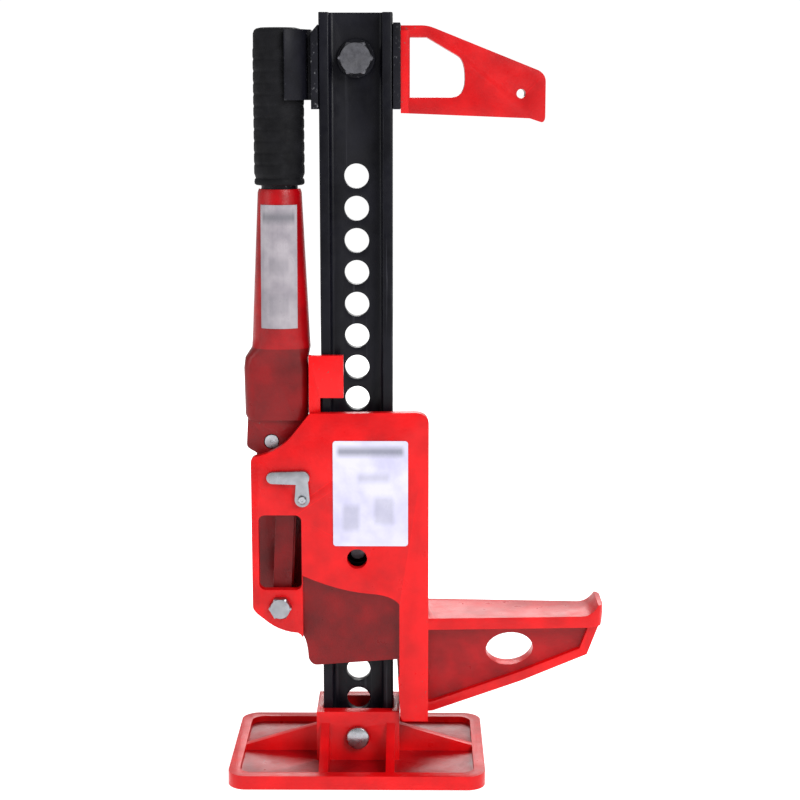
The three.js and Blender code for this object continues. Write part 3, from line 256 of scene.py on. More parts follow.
def blank_label(name, paper, band, shade, low, high, blocks):
    """A blank label: plain film, a darker band along its top and soft grey panels.

    low and high are the label's corners. blocks are (left, right, foot, head) shares of its
    width and height.
    """
    finish = Finish(name, paper, 0.32, specular=0.3)
    split = finish.node("ShaderNodeSeparateXYZ")
    finish.link(finish.place, split.inputs["Vector"])
    across = finish.ramp(split.outputs["X"], low.x, high.x)
    height = finish.ramp(split.outputs["Z"], low.z, high.z)

    def between(value, start, end, soft=0.06):
        rise = finish.ramp(value, start, start + soft)
        return finish.math("MULTIPLY", rise, finish.ramp(value, end, end - soft))

    def panel(left, right, foot, head):
        return finish.math("MULTIPLY", between(across, left, right), between(height, foot, head))

    cloud = finish.ramp(finish.noise(scale=45, detail=3), 0.4, 0.7)
    body = finish.mix(cloud, paper, shade)
    body = finish.mix(finish.math("MULTIPLY", panel(*LABEL_BAND), BAND_SHARE), body, band)
    for block in blocks:
        body = finish.mix(finish.math("MULTIPLY", panel(*block), PANEL_SHARE), body, band)
    finish.colour(body)
    finish.rough(finish.ramp(finish.noise(scale=180, detail=3), 0.3, 0.7, 0.24, 0.42))
    finish.height(finish.noise(scale=240, detail=3), strength=0.05, distance=0.0003)
    return finish.material


label_low, label_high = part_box("runner_label")
tag_low, tag_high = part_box("handle_label")
LABEL_PANELS = [(0.10, 0.38, 0.12, 0.42), (0.52, 0.84, 0.18, 0.50), (0.30, 0.78, 0.58, 0.72)]
TAG_PANELS = [(0.2, 0.8, 0.08, 0.3), (0.2, 0.8, 0.42, 0.6)]
MATERIALS = {
    "cast": enamel("red_cast_enamel", (0.70, 0.002, 0.004), (0.47, 0.001, 0.003), grain=0.32),
    # Painted shade: a dark copy of the red enamel for faces that lie in shadow, in the runner's recess and
    # ear, on the front pitman and on the socket's lower block.
    "painted_deep_shade": enamel("red_recess_painted_shade_enamel", (0.22, 0.001, 0.003), (0.10, 0.001, 0.002), grain=0.34),
    # Painted half shade: a darker copy of the red enamel for the web under the toe, the base's tray and the
    # socket's sleeve.
    "painted_half_shade": enamel("red_enamel_half_shade_painted", (0.40, 0.001, 0.004), (0.20, 0.001, 0.003), grain=0.4),
    # Pressed red parts: a finer grain than the castings, and a darker red that is painted shade.
    "formed_painted_shade": enamel("red_pressed_enamel_painted_shade", (0.36, 0.001, 0.004), (0.20, 0.001, 0.003), grain=0.14),
    "bar": bar_paint(),
    "yoke": yoke_paint(),
    "rubber": grip_rubber(),
    "clamped": enamel("red_clamp_enamel", (0.56, 0.002, 0.004), (0.36, 0.001, 0.003), grain=0.3),
    "dull": zinc("dull_zinc", (0.13, 0.13, 0.145), (0.10, 0.10, 0.10), 0.42),
    "zinc": zinc("bright_zinc", (0.34, 0.35, 0.38), (0.30, 0.30, 0.29), 0.32),
    "turned": zinc("turned_zinc", (0.44, 0.45, 0.48), (0.38, 0.39, 0.44), 0.26, brushed=(1, 0.08, 1)),
    "spring": zinc("spring_steel", (0.42, 0.42, 0.44), (0.30, 0.26, 0.22), 0.34),
    "label": blank_label(
        "blank_white_label", paper=(0.64, 0.63, 0.78), band=(0.14, 0.15, 0.19), shade=(0.50, 0.49, 0.66),
        low=label_low, high=label_high, blocks=LABEL_PANELS,
    ),
    "tag": blank_label(
        "blank_silver_label", paper=(0.36, 0.33, 0.36), band=(0.12, 0.12, 0.14), shade=(0.22, 0.20, 0.23),
        low=tag_low, high=tag_high, blocks=TAG_PANELS,
    ),
}

SLOT_FINISH = {
    "red_cast_paint": "cast",
    "red_part_paint": "formed_painted_shade",
    "black_bar_paint": "yoke",
    "black_rubber": "rubber",
    "zinc_plate": "zinc",
    "spring_steel": "spring",
    "blank_white_label": "label",
    "blank_silver_label": "tag",
}

# ---------------------------------------------------------------- mesh helpers

BODIES = frame["record"]["behaviour"]["bodies"]
node_body = {node: body for body, nodes in BODIES.items() for node in nodes}
node_slot = {entry["node"]: entry["material_slot"] for entry in frame["record"]["subparts"]}


def made(name, bm, finish, sharp=32):
    """A bmesh becomes an object, smooth but for edges sharper than sharp degrees."""
    mesh = bpy.data.meshes.new(name)
    bm.to_mesh(mesh)
    bm.free()
    mesh.polygons.foreach_set("use_smooth", [True] * len(mesh.polygons))
    mesh.set_sharp_from_angle(angle=math.radians(sharp))
    mesh.materials.append(MATERIALS[finish])
    piece = bpy.data.objects.new(name, mesh)
    bpy.context.scene.collection.objects.link(piece)
    return piece


def baked(piece):
    """The piece's modifiers are made real."""
    graph = bpy.context.evaluated_depsgraph_get()
    mesh = bpy.data.meshes.new_from_object(piece.evaluated_get(graph))
    piece.modifiers.clear()
    piece.data = mesh
    return piece


def eased(piece, width, segments=3, angle=38, sharp=32):
    """Outer and inner edges get a small round, as cast and pressed parts have.

    Edges sharper than angle degrees are rounded.
    """
    bevel = piece.modifiers.new("edge_round", "BEVEL")
    bevel.width = width
    bevel.segments = segments
    bevel.limit_method = "ANGLE"
    bevel.angle_limit = math.radians(angle)
    bevel.miter_outer = "MITER_ARC"
    baked(piece)
    mesh = piece.data
    mesh.polygons.foreach_set("use_smooth", [True] * len(mesh.polygons))
    mesh.set_sharp_from_angle(angle=math.radians(sharp))
    return piece


def cut_by(piece, cutter):
    """piece less cutter; the cutter is used up."""
    boolean = piece.modifiers.new("cut", "BOOLEAN")
    boolean.operation = "DIFFERENCE"
    boolean.solver = "EXACT"
    boolean.object = cutter
    baked(piece)
    bpy.data.objects.remove(cutter)
    return piece


def settle(piece, *nodes):
    """The piece stands for these CAD nodes and rides on their body."""
    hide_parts(*nodes)
    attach(piece, node_body[nodes[0]])
    return piece


SAME_CORNER = 0.002 * MM
FLAT_ANGLE = math.radians(0.6)


def middle_of(node):
    """The middle of the CAD node's box in X and Z."""
    low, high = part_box(node)
    return (low.x + high.x) / 2, (low.z + high.z) / 2


def merged_copy(node):
    """The CAD node's surface with its corners joined and its flats made whole."""
    bm = bmesh.new()
    bm.from_mesh(frame["nodes"][node].data)
    bmesh.ops.remove_doubles(bm, verts=bm.verts, dist=SAME_CORNER)
    bmesh.ops.dissolve_limit(bm, angle_limit=FLAT_ANGLE, verts=bm.verts, edges=bm.edges)
    return bm


def refined(node, finish, width):
    """The CAD node with its edges rounded."""
    piece = made(node + "_finished", merged_copy(node), finish)
    return settle(eased(piece, width), node)


def tinted(piece, finish, inside):
    """Faces whose middle and outward direction pass the test inside get another material; here that paints
    shade on them.
    """
    mesh = piece.data
    mesh.materials.append(MATERIALS[finish])
    last = len(mesh.materials) - 1
    for face in mesh.polygons:
        if inside(face.center / MM, face.normal):
            face.material_index = last


def laid(table, start, radius=0.0, step=1):
    """A table of (radius, distance) in millimetres becomes a profile measured from radius and start."""
    return [(radius + across * MM, start + step * along * MM) for across, along in table]


def skin(bm, rings):
    """Joins rings of corners one after another and closes both ends."""
    count = len(rings[0])
    for low, high in zip(rings, rings[1:]):
        for i in range(count):
            j = (i + 1) % count
            bm.faces.new((low[i], high[i], high[j], low[j]))
    bm.faces.new(rings[0])
    bm.faces.new(list(reversed(rings[-1])))


def turned_about_y(bm, profile, x, z, count=48):
    """Adds a solid turned about an axis along Y: profile is (radius, y) from end to end."""
    turns = [2 * math.pi * i / count for i in range(count)]
    rings = []
    for radius, y in profile:
        rings.append([bm.verts.new((x + radius * math.cos(turn), y, z + radius * math.sin(turn)))
                      for turn in turns])
    skin(bm, rings)


def turned_piece(name, profile, x, z, finish, count=48):
    """One solid turned about an axis along Y."""
    bm = bmesh.new()
    turned_about_y(bm, profile, x, z, count)
    bmesh.ops.recalc_face_normals(bm, faces=bm.faces)
    return made(name, bm, finish)


def prism_z(name, outline, z0, z1, finish):
    """A straight bar from z0 to z1; outline is points in X and Y, counterclockwise."""
    bm = bmesh.new()
    low = [bm.verts.new((x, y, z0)) for x, y in outline]
    high = [bm.verts.new((x, y, z1)) for x, y in outline]
    bm.faces.new(list(reversed(low)))
    bm.faces.new(high)
    for i in range(len(outline)):
        j = (i + 1) % len(outline)
        bm.faces.new((low[i], low[j], high[j], high[i]))
    return made(name, bm, finish)


def rounded(points, steps=6):
    """points are (x, y, radius); each corner becomes an arc of that radius."""
    outline = []
    for index, (x, y, radius) in enumerate(points):
        here = Vector((x, y))
        back = (Vector(points[index - 1][:2]) - here).normalized()
        ahead = (Vector(points[(index + 1) % len(points)][:2]) - here).normalized()
        if radius <= 0:
            outline.append((x, y))
            continue
        half = back.angle(ahead) / 2
        reach = radius / math.tan(half)
        centre = here + (back + ahead).normalized() * (radius / math.sin(half))
        first = here + back * reach - centre
        last = here + ahead * reach - centre
        sweep = first.angle_signed(last)
        for step in range(steps + 1):
            turn = Matrix.Rotation(-sweep * step / steps, 2)
            outline.append(tuple(centre + turn @ first))
    return outline


# ---------------------------------------------------------------- bar


HOLE_POINTS = 56
BOLT_HOLE_POINTS = 40
BAR_EASE = 0.5 * MM


def standard_bar():
    """The rolled I-section with its row of climbing holes and the clamp bolt's hole."""
    low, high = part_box("standard_bar")
    outer = 1.4 * MM
    inner = 3.2 * MM
    toe = 1.2 * MM
    web = WEB / 2
    flange = high.x - FLANGE
    half = [
        (high.x, high.y, outer), (flange, high.y, toe), (flange, web, inner),
        (-flange, web, inner), (-flange, high.y, toe), (low.x, high.y, outer),
    ]
    points = half + [(-x, -y, r) for x, y, r in half]
    bar = prism_z("standard_bar_rolled", rounded(points), low.z, high.z, "bar")
    bm = bmesh.new()
    for step in range(HOLE_COUNT):
        hole = [(HOLE_RADIUS, -WEB), (HOLE_RADIUS, WEB)]
        turned_about_y(bm, hole, 0, FIRST_HOLE_Z + PITCH * step, HOLE_POINTS)
    bolt_hole = [(CLAMP_BORE_RADIUS, -WEB), (CLAMP_BORE_RADIUS, WEB)]
    bolt_z = middle_of("clamp_bolt")[1]
    turned_about_y(bm, bolt_hole, 0, bolt_z, BOLT_HOLE_POINTS)
    bmesh.ops.recalc_face_normals(bm, faces=bm.faces)
    cut_by(bar, made("bar_holes", bm, "bar"))
    eased(bar, BAR_EASE, 2, angle=50)
    return settle(bar, "standard_bar")


standard_bar()

# ---------------------------------------------------------------- castings and pressings

# Each casting's or pressing's finish and the round on its edges in millimetres; the pitmans' darker reds
# are painted shade.
REFINED = {
    "base_plate": ("cast", 1.6),
    "large_runner": ("cast", 1.5),
    "small_runner": ("cast", 1.2),
    "top_clamp_jaw": ("clamped", 1.6),
    "top_clamp_yoke": ("yoke", 1.0),
    "handle_keeper": ("yoke", 0.6),
    # The pitmans lie between the ear's plates: their darker reds are painted shade.
    "pitman_front": ("painted_deep_shade", 0.7),
    "pitman_rear": ("formed_painted_shade", 0.7),
    "latch_lever": ("zinc", 1.2),
    "latch_fork": ("zinc", 0.6),
    "lower_pin_cage": ("zinc", 0.5),
    "upper_pin_cage": ("zinc", 0.5),
}
casting = {node: refined(node, finish, width * MM) for node, (finish, width) in REFINED.items()}

# Limits of the areas given painted shade in millimetres, and how squarely a face must look their way.
RECESS_FRONT_Y = -25.7
RECESS_BACK_Y = -22.0
RECESS_RIGHT_X = 36
RECESS_TOP_Z = 172
TOE_WEB_LEFT_X = 60
TOE_WEB_HALF = 9.0
EAR_RIGHT_X = -28
EAR_WALL_X = -42
EAR_HALF = 26
TRAY_TOP_Z = 9
SOCKET_TOP_Z = 350
FACES = 0.5
FACES_UP = 0.6


def in_recess(middle, normal):
    """The sunk face at the runner's lower left, given painted shade."""
    sunk = RECESS_FRONT_Y < middle.y < RECESS_BACK_Y and normal.y < -FACES
    return sunk and middle.x < RECESS_RIGHT_X and middle.z < RECESS_TOP_Z


def on_toe_web(middle, normal):
    """Both sides of the thin web under the toe, given painted half shade."""
    return middle.x > TOE_WEB_LEFT_X and abs(middle.y) < TOE_WEB_HALF and abs(normal.y) > FACES


def inside_ear(middle, normal):
    """The faces between the two plates, where the links run, given painted shade."""
    faces_in = normal.y * middle.y < 0 and abs(normal.y) > FACES
    wall = normal.x < -FACES and middle.x > EAR_WALL_X
    return middle.x < EAR_RIGHT_X and abs(middle.y) < EAR_HALF and (faces_in or wall)


def in_tray(middle, normal):
    """The floor of the base plate, inside its rim, given painted half shade."""
    return normal.z > FACES_UP and middle.z < TRAY_TOP_Z


# Painted shade on the runner's recess, toe web and the inside of its ear, and on the base's tray.
tinted(casting["large_runner"], "painted_deep_shade", in_recess)
tinted(casting["large_runner"], "painted_half_shade", on_toe_web)
tinted(casting["base_plate"], "painted_half_shade", in_tray)
tinted(casting["large_runner"], "painted_deep_shade", inside_ear)

# ---------------------------------------------------------------- fasteners


HEX_POINTS = 48
HALF_SIDE = math.pi / 6
CROWN_DEPTH = 0.62
CROWN_TRIM = 0.985


def hexagon(bm, across_corners, y0, y1, x, z, crown):
    """A hexagon bar from y0 to y1, its corners turned off at y1, or at both ends if crown is "both"."""
    radius = across_corners / 2
    flat = radius * math.cos(HALF_SIDE)
    deep = (radius - flat) * CROWN_DEPTH
    step = 1 if y1 > y0 else -1
    levels = [(y0, flat if crown == "both" else None)]
    if crown == "both":
        levels.append((y0 + step * deep, None))
    levels += [(y1 - step * deep, None), (y1, flat)]
    rings = []
    for y, limit in levels:
        points = []
        for i in range(HEX_POINTS):
            angle = 2 * math.pi * i / HEX_POINTS
            part = (angle + HALF_SIDE) % (2 * HALF_SIDE) - HALF_SIDE
            reach = flat / math.cos(HALF_SIDE - abs(part))
            if limit is not None:
                reach = min(reach, limit * CROWN_TRIM)
            points.append(bm.verts.new((x + reach * math.cos(angle), y, z + reach * math.sin(angle))))
        rings.append(points)
    skin(bm, rings)


def bolt_mesh(hexagons, turned):
    """hexagons and turned are lists of arguments for closed shells that make one fastener."""
    bm = bmesh.new()
    for values in hexagons:
        hexagon(bm, *values)
    for profile, x, z in turned:
        turned_about_y(bm, profile, x, z)
    bmesh.ops.recalc_face_normals(bm, faces=bm.faces)
    return bm


def thread(radius, y0, y1, pitch):
    """The profile of a threaded end: close ridges, then a chamfer."""
    step = 1 if y1 > y0 else -1
    crest = 0.15 * pitch
    groove = 0.5 * pitch
    chamfer = 0.7 * pitch
    point = 0.8 * pitch
    profile = [(radius, y0)]
    y = y0
    while abs(y1 - y) > 2 * chamfer:
        profile += [(radius, y + step * crest), (radius - groove, y + step * groove)]
        y += step * pitch
        profile.append((radius, y))
    profile += [(radius, y1 - step * chamfer), (radius - point, y1)]
    return profile


def bolt_and_nut(bolt, nut, across_corners, head, radius, threaded, pitch, bore, ease, finish):
    """A forged hexagon bolt in finish and its zinc nut, both about the bolt's own axis."""
    x, z = middle_of(bolt)
    low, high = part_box(bolt)
    crown = (across_corners, low.y + head, low.y, x, z, "one")
    shank = [(radius, low.y + head - MM)] + thread(radius, high.y - threaded, high.y, pitch)
    settle(made(bolt + "_forged", bolt_mesh([crown], [(shank, x, z)]), finish), bolt)

    low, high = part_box(nut)
    piece = made(nut + "_forged", bolt_mesh([(across_corners, low.y, high.y, x, z, "both")], []), "zinc")
    hole = [(bore, low.y - CUTTER_PAST), (bore, high.y + CUTTER_PAST)]
    cut_by(piece, turned_piece("nut_bore", hole, x, z, "zinc"))
    settle(eased(piece, ease, 2, angle=50), nut)


def clamp_bolt():
    bolt_and_nut("clamp_bolt", "clamp_nut", across_corners=27.6 * MM, head=10 * MM,
                 radius=CLAMP_BOLT_RADIUS, threaded=20 * MM, pitch=1.75 * MM,
                 bore=CLAMP_BORE_RADIUS, ease=0.25 * MM, finish="dull")


def pitman_bolt():
    bolt_and_nut("pitman_bolt", "pitman_nut", across_corners=18.5 * MM, head=7 * MM,
                 radius=PITMAN_BOLT_RADIUS, threaded=13 * MM, pitch=1.5 * MM,
                 bore=PITMAN_BORE_RADIUS, ease=0.2 * MM, finish="zinc")


def flat_ring(node, inner, finish, ease):
    """A washer or spacer with its edges broken, as turned."""
    low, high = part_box(node)
    x, z = middle_of(node)
    outer = (high.z - low.z) / 2
    profile = [(outer - ease, low.y), (outer, low.y + ease), (outer, high.y - ease), (outer - ease, high.y)]
    piece = turned_piece(node + "_turned", profile, x, z, finish, 64)
    hole = [(inner, low.y - CUTTER_PAST), (inner, high.y + CUTTER_PAST)]
    return settle(cut_by(piece, turned_piece(node + "_bore", hole, x, z, finish, 64)), node)


# Profiles of turned pieces in millimetres, as (radius, distance); a negative distance is from the far end.
BASE_PIN_HEAD = [(8.15, 0), (9.05, 0.5), (9.35, 1.4), (9.35, 4.4), (8.85, 5), (6.95, 5), (6.35, 5.8)]
BASE_PIN_POINT = [(6.35, -1.6), (4.95, 0)]
CLIMBING_PIN_NOSE = [(5.5, 0), (7.1, 1.7), (7.5, 2.6)]
CLIMBING_PIN_GROOVE = [(7.5, 37), (6.8, 37.6), (6.8, 39.4), (7.5, 40)]
CLIMBING_PIN_SHOULDER = [(7.5, 48.2), (6.7, 49), (4.5, 49), (4, 49.6)]
CLIMBING_PIN_TAIL = [(4, -1.1), (3, 0)]
STUD_HEAD = [(3.78, 0), (6.72, 0.5), (8.4, 1.7), (8.4, 4.2), (5, 4.5)]
STUD_POINT = [(5, -0.6), (4.4, 0)]
SCREW_FOOT = [(3, 0)]
SCREW_HEAD = [(3, -3.2), (5.2, -3.2), (5.2, -2.0), (4.7, -0.9), (3.4, -0.25), (1.6, 0)]
SCREW_SLOT = (14 * MM, 2.4 * MM, 1.3 * MM)
NOSE_DEPTH = 2.7


def base_pin():
    """The pin that holds the bar in its base: a round head on a plain shank."""
    x, z = middle_of("base_pin")
    low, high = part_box("base_pin")
    profile = laid(BASE_PIN_HEAD, low.y) + laid(BASE_PIN_POINT, high.y)
    settle(turned_piece("base_pin_turned", profile, x, z, "turned", 64), "base_pin")


def climbing_pin(node):
    """A hardened pin: chamfered nose, oil groove, shoulder fillet and a slim tail."""
    x, z = middle_of(node)
    low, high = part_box(node)
    body = CLIMBING_PIN_NOSE + CLIMBING_PIN_GROOVE + CLIMBING_PIN_SHOULDER
    profile = laid(body, low.y) + laid(CLIMBING_PIN_TAIL, high.y)
    piece = turned_piece(node + "_turned", profile, x, z, "turned", 56)
    # The nose's first NOSE_DEPTH mm get the darker dull zinc: painted shade on the tip seen at the back of
    # its bore.
    tinted(piece, "dull", lambda middle, normal: middle.y < low.y / MM + NOSE_DEPTH)
    settle(piece, node)


def thin_pin(node, finish):
    """A straight cross pin along X with rounded ends."""
    low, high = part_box(node)
    y = (low.y + high.y) / 2
    z = (low.z + high.z) / 2
    r = (high.y - low.y) / 2
    end = r - 0.5 * MM
    chamfer = 0.6 * MM
    profile = [(end, low.x), (r, low.x + chamfer), (r, high.x - chamfer), (end, high.x)]
    bm = bmesh.new()
    turned_about_y(bm, profile, 0, 0, 32)
    bmesh.ops.recalc_face_normals(bm, faces=bm.faces)
    bmesh.ops.rotate(bm, verts=bm.verts, cent=(0, 0, 0), matrix=Matrix.Rotation(-math.pi / 2, 3, "Z"))
    bmesh.ops.translate(bm, verts=bm.verts, vec=(0, y, z))
    settle(made(node + "_turned", bm, finish), node)


def headed_stud(node, head_first):
    """The short pin of the linkage: a plain shank with a domed, riveted head at its low or high end."""
    low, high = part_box(node)
    x, z = middle_of(node)
    if head_first == "low":
        start, end = low.y, high.y
    else:
        start, end = high.y, low.y
    step = 1 if end > start else -1
    profile = laid(STUD_HEAD, start, step=step) + laid(STUD_POINT, end, step=step)
    settle(turned_piece(node + "_riveted", profile, x, z, "zinc"), node)


def plain_shaft(node, finish):
    """A turned shaft with chamfered, centre-drilled ends."""
    x, z = middle_of(node)
    low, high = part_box(node)
    r = (high.z - low.z) / 2
    chamfer = 0.6 * MM
    drill = 0.9 * MM
    mouth = 1.2 * MM
    profile = [(drill, low.y + chamfer), (mouth, low.y), (r - chamfer, low.y), (r, low.y + chamfer),
               (r, high.y - chamfer), (r - chamfer, high.y), (mouth, high.y), (drill, high.y - chamfer)]
    settle(turned_piece(node + "_turned", profile, x, z, finish), node)


def socket_screw():
    """A round-headed slotted screw behind the sleeve."""
    x, z = middle_of("socket_screw")
    low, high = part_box("socket_screw")
    profile = laid(SCREW_FOOT, low.y) + laid(SCREW_HEAD, high.y)
    piece = turned_piece("socket_screw_turned", profile, x, z, "zinc")
    slot = bmesh.new()
    bmesh.ops.create_cube(slot, size=1)
    bmesh.ops.scale(slot, verts=slot.verts, vec=SCREW_SLOT)
    bmesh.ops.translate(slot, verts=slot.verts, vec=(x, high.y, z))
    settle(cut_by(piece, made("screw_slot", slot, "zinc")), "socket_screw")


clamp_bolt()
flat_ring("clamp_washer", CLAMP_BORE_RADIUS, "yoke", 0.5 * MM)
flat_ring("clamp_spacer", CLAMP_BORE_RADIUS, "zinc", 0.6 * MM)
pitman_bolt()
base_pin()
climbing_pin("lower_climbing_pin")
climbing_pin("upper_climbing_pin")
thin_pin("lower_cross_pin", "turned")
thin_pin("upper_cross_pin", "turned")
headed_stud("crank_pin_front", "low")
headed_stud("crank_pin_rear", "high")
flat_ring("pitman_spacer", PITMAN_BORE_RADIUS, "zinc", 0.5 * MM)
plain_shaft("fulcrum_pin", "turned")
plain_shaft("latch_shaft", "turned")
socket_screw()

# ---------------------------------------------------------------- springs and cage screws


PATTERN_SHARP = math.radians(35)
SQUARE = math.pi / 2


class Pattern:
    """A Geometry Nodes tree with named sizes, run once into a plain mesh."""

    def __init__(self, name):
        self.tree = bpy.data.node_groups.new(name, "GeometryNodeTree")
        self.tree.interface.new_socket("Geometry", in_out="OUTPUT", socket_type="NodeSocketGeometry")
        self.given = self.tree.nodes.new("NodeGroupInput")
        self.sizes = {}

    def size(self, name, value):
        """Adds a named input and returns its socket."""
        kind = {int: "NodeSocketInt", float: "NodeSocketFloat"}.get(type(value), "NodeSocketVector")
        socket = self.tree.interface.new_socket(name, in_out="INPUT", socket_type=kind)
        self.sizes[socket.identifier] = value
        return self.given.outputs[name]

    def node(self, kind, **sockets):
        """A node whose sockets, named with underscores for spaces, are set or linked."""
        made_node = self.tree.nodes.new(kind)
        for name, value in sockets.items():
            socket = made_node.inputs[name.replace("_", " ")]
            if isinstance(value, bpy.types.NodeSocket):
                self.tree.links.new(value, socket)
            else:
                socket.default_value = value
        return made_node

    def piece(self, name, geometry, finish):
        """The pattern's geometry as a plain mesh."""
        real = self.node("GeometryNodeRealizeInstances", Geometry=geometry)
        painted = self.node("GeometryNodeSetMaterial", Geometry=real.outputs[0], Material=MATERIALS[finish])
        result = self.tree.nodes.new("NodeGroupOutput")
        self.tree.links.new(painted.outputs[0], result.inputs[0])
        piece = bpy.data.objects.new(name, bpy.data.meshes.new(name))
        bpy.context.scene.collection.objects.link(piece)
        modifier = piece.modifiers.new("pattern", "NODES")
        modifier.node_group = self.tree
        for identifier, value in self.sizes.items():
            modifier[identifier] = value
        baked(piece)
        piece.data.polygons.foreach_set("use_smooth", [True] * len(piece.data.polygons))
        piece.data.set_sharp_from_angle(angle=PATTERN_SHARP)
        return piece


def pin_spring(node):
    """Round wire wound round the pin's tail, between its shoulder and the cage."""
    low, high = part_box(node)
    x, z = middle_of(node)
    wire = 0.8 * MM
    pattern = Pattern(node + "_coil")
    coil = pattern.node(
        "GeometryNodeCurveSpiral",
        Resolution=40,
        Rotations=pattern.size("Turns", 3.5),
        Start_Radius=pattern.size("Coil radius", 5.3 * MM),
        End_Radius=pattern.given.outputs["Coil radius"],
        Height=pattern.size("Free length", high.y - low.y - 2 * wire),
    )
    section = pattern.node(
        "GeometryNodeCurvePrimitiveCircle",
        Resolution=12,
        Radius=pattern.size("Wire radius", wire),
    )
    wound = pattern.node(
        "GeometryNodeCurveToMesh",
        Curve=coil.outputs[0],
        Profile_Curve=section.outputs[0],
        Fill_Caps=True,
    )
    laid = pattern.node(
        "GeometryNodeTransform",
        Geometry=wound.outputs[0],
        Rotation=(-SQUARE, 0, 0),
        Translation=(x, low.y + wire, z),
    )
    return settle(pattern.piece(node + "_wound", laid.outputs[0], "spring"), node)


def cage_screws(low_node, high_node, name):
    """The pair of flanged hexagon screws that hold a pin cage."""
    low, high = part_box(low_node)
    x, z = middle_of(low_node)
    gap = middle_of(high_node)[1] - z
    thick = high.y - low.y
    flange_thick = 0.9 * MM
    crown_thick = 0.7 * MM
    head_thick = thick - 0.6 * MM
    pattern = Pattern(name + "_pair")

    def set_back(part, depth):
        """The part moved out from the cage by depth."""
        mesh = part.outputs["Mesh"]
        return pattern.node("GeometryNodeTransform", Geometry=mesh, Translation=(0, 0, -depth))

    flange = pattern.node(
        "GeometryNodeMeshCylinder",
        Vertices=32,
        Radius=pattern.size("Flange radius", 4.4 * MM),
        Depth=flange_thick,
    )
    head = pattern.node(
        "GeometryNodeMeshCylinder",
        Vertices=6,
        Radius=pattern.size("Half across corners", 3.9 * MM),
        Depth=head_thick,
    )
    crown = pattern.node(
        "GeometryNodeMeshCone",
        Vertices=32,
        Radius_Top=3.5 * MM,
        Radius_Bottom=3.1 * MM,
        Depth=crown_thick,
    )
    both = pattern.tree.nodes.new("GeometryNodeJoinGeometry")
    for part, depth in ((flange, flange_thick / 2), (head, head_thick / 2), (crown, thick)):
        pattern.tree.links.new(set_back(part, depth).outputs[0], both.inputs[0])
    row = pattern.node(
        "GeometryNodeMeshLine",
        Count=pattern.size("Count", 2),
        Start_Location=(x, low.y, z),
        Offset=(0, 0, gap),
    )
    placed = pattern.node(
        "GeometryNodeInstanceOnPoints",
        Points=row.outputs[0],
        Instance=both.outputs[0],
        Rotation=(SQUARE, 0, 0),
    )
    return settle(pattern.piece(name, placed.outputs[0], "zinc"), low_node, high_node)


lower_spring = pin_spring("lower_pin_spring")
pin_spring("upper_pin_spring")
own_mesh(lower_spring)
cage_screws("lower_cage_screw_low", "lower_cage_screw_high", "lower_cage_screws")
cage_screws("upper_cage_screw_low", "upper_cage_screw_high", "upper_cage_screws")

# ---------------------------------------------------------------- handle


def turned_about_z(name, profile, x, finish, count=96):
    """A closed profile of (radius, z) turned about the handle's axis."""
    bm = bmesh.new()
    turns = [2 * math.pi * i / count for i in range(count)]
    rings = []
    for radius, z in profile:
        rings.append([bm.verts.new((x + radius * math.cos(turn), radius * math.sin(turn), z))
                      for turn in turns])
    for low, high in zip(rings, rings[1:] + rings[:1]):
        for i in range(count):
            j = (i + 1) % count
            bm.faces.new((low[i], low[j], high[j], high[i]))
    bmesh.ops.recalc_face_normals(bm, faces=bm.faces)
    return made(name, bm, finish)


# Outlines of the grip and tube in millimetres, as (radius, height) past their own radius and an end.
GRIP_CUFF = [(-1.6, 0), (-0.4, 0.8), (-0.1, 2.4), (-0.4, 4.2), (-1.3, 5.4)]
FINGER_RING = [(-0.4, 0), (-0.1, 0.7), (0, 1.8), (0, 6.0), (-0.1, 7.1), (-0.4, 7.8)]
GRIP_DOME = [(-0.5, -4.6), (-1.4, -2.2), (-3.0, -0.8), (-6.0, -0.1), (-11, 0)]
TUBE_END = [(0, -0.5), (-0.5, 0), (-2.2, 0), (-2.6, -0.5)]
FINGER_RINGS = 11
RINGS_FOOT = 8 * MM
RING_STEP = 9 * MM
GRIP_BORE = 14.8 * MM
AIR_HOLE = 1.2 * MM
TUBE_WALL = 2.6 * MM


def handle_grip():
    """Dipped rubber over the tube: a rolled cuff, shallow finger rings and a domed end."""
    low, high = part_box("handle_grip")
    x = (low.x + high.x) / 2
    r = (high.x - low.x) / 2
    profile = laid(GRIP_CUFF, low.z, r)
    for i in range(FINGER_RINGS):
        profile += laid(FINGER_RING, low.z + RINGS_FOOT + i * RING_STEP, r)
    bore_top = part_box("handle_tube")[1].z + 0.3 * MM
    profile += laid(GRIP_DOME, high.z, r) + [(AIR_HOLE, high.z), (AIR_HOLE, bore_top)]
    profile += [(GRIP_BORE, bore_top), (GRIP_BORE, low.z)]
    return settle(turned_about_z("handle_grip_dipped", profile, x, "rubber"), "handle_grip")


def handle_tube():
    """The drawn steel tube inside the grip."""
    low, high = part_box("handle_tube")
    x = (low.x + high.x) / 2
    r = (high.x - low.x) / 2
    profile = [(r, low.z)] + laid(TUBE_END, high.z, r) + [(r - TUBE_WALL, low.z)]
    return settle(turned_about_z("handle_tube_drawn", profile, x, "yoke", 72), "handle_tube")


def handle_socket():
    """The forged socket: edges rounded, with painted shade on it, lighter on the sleeve and deeper on the
    lower block.
    """
    piece = made("handle_socket_forged", merged_copy("handle_socket"), "painted_half_shade", sharp=40)
    eased(piece, 0.8 * MM, angle=42, sharp=40)
    tinted(piece, "painted_deep_shade", lambda middle, normal: middle.z < SOCKET_TOP_Z)
    return settle(piece, "handle_socket")


handle_grip()
handle_tube()
handle_socket()

# ---------------------------------------------------------------- carried over

for node, thing in frame["nodes"].items():
    if not thing.hide_render:
        thing.data.materials.clear()
        thing.data.materials.append(MATERIALS[SLOT_FINISH[node_slot[node]]])

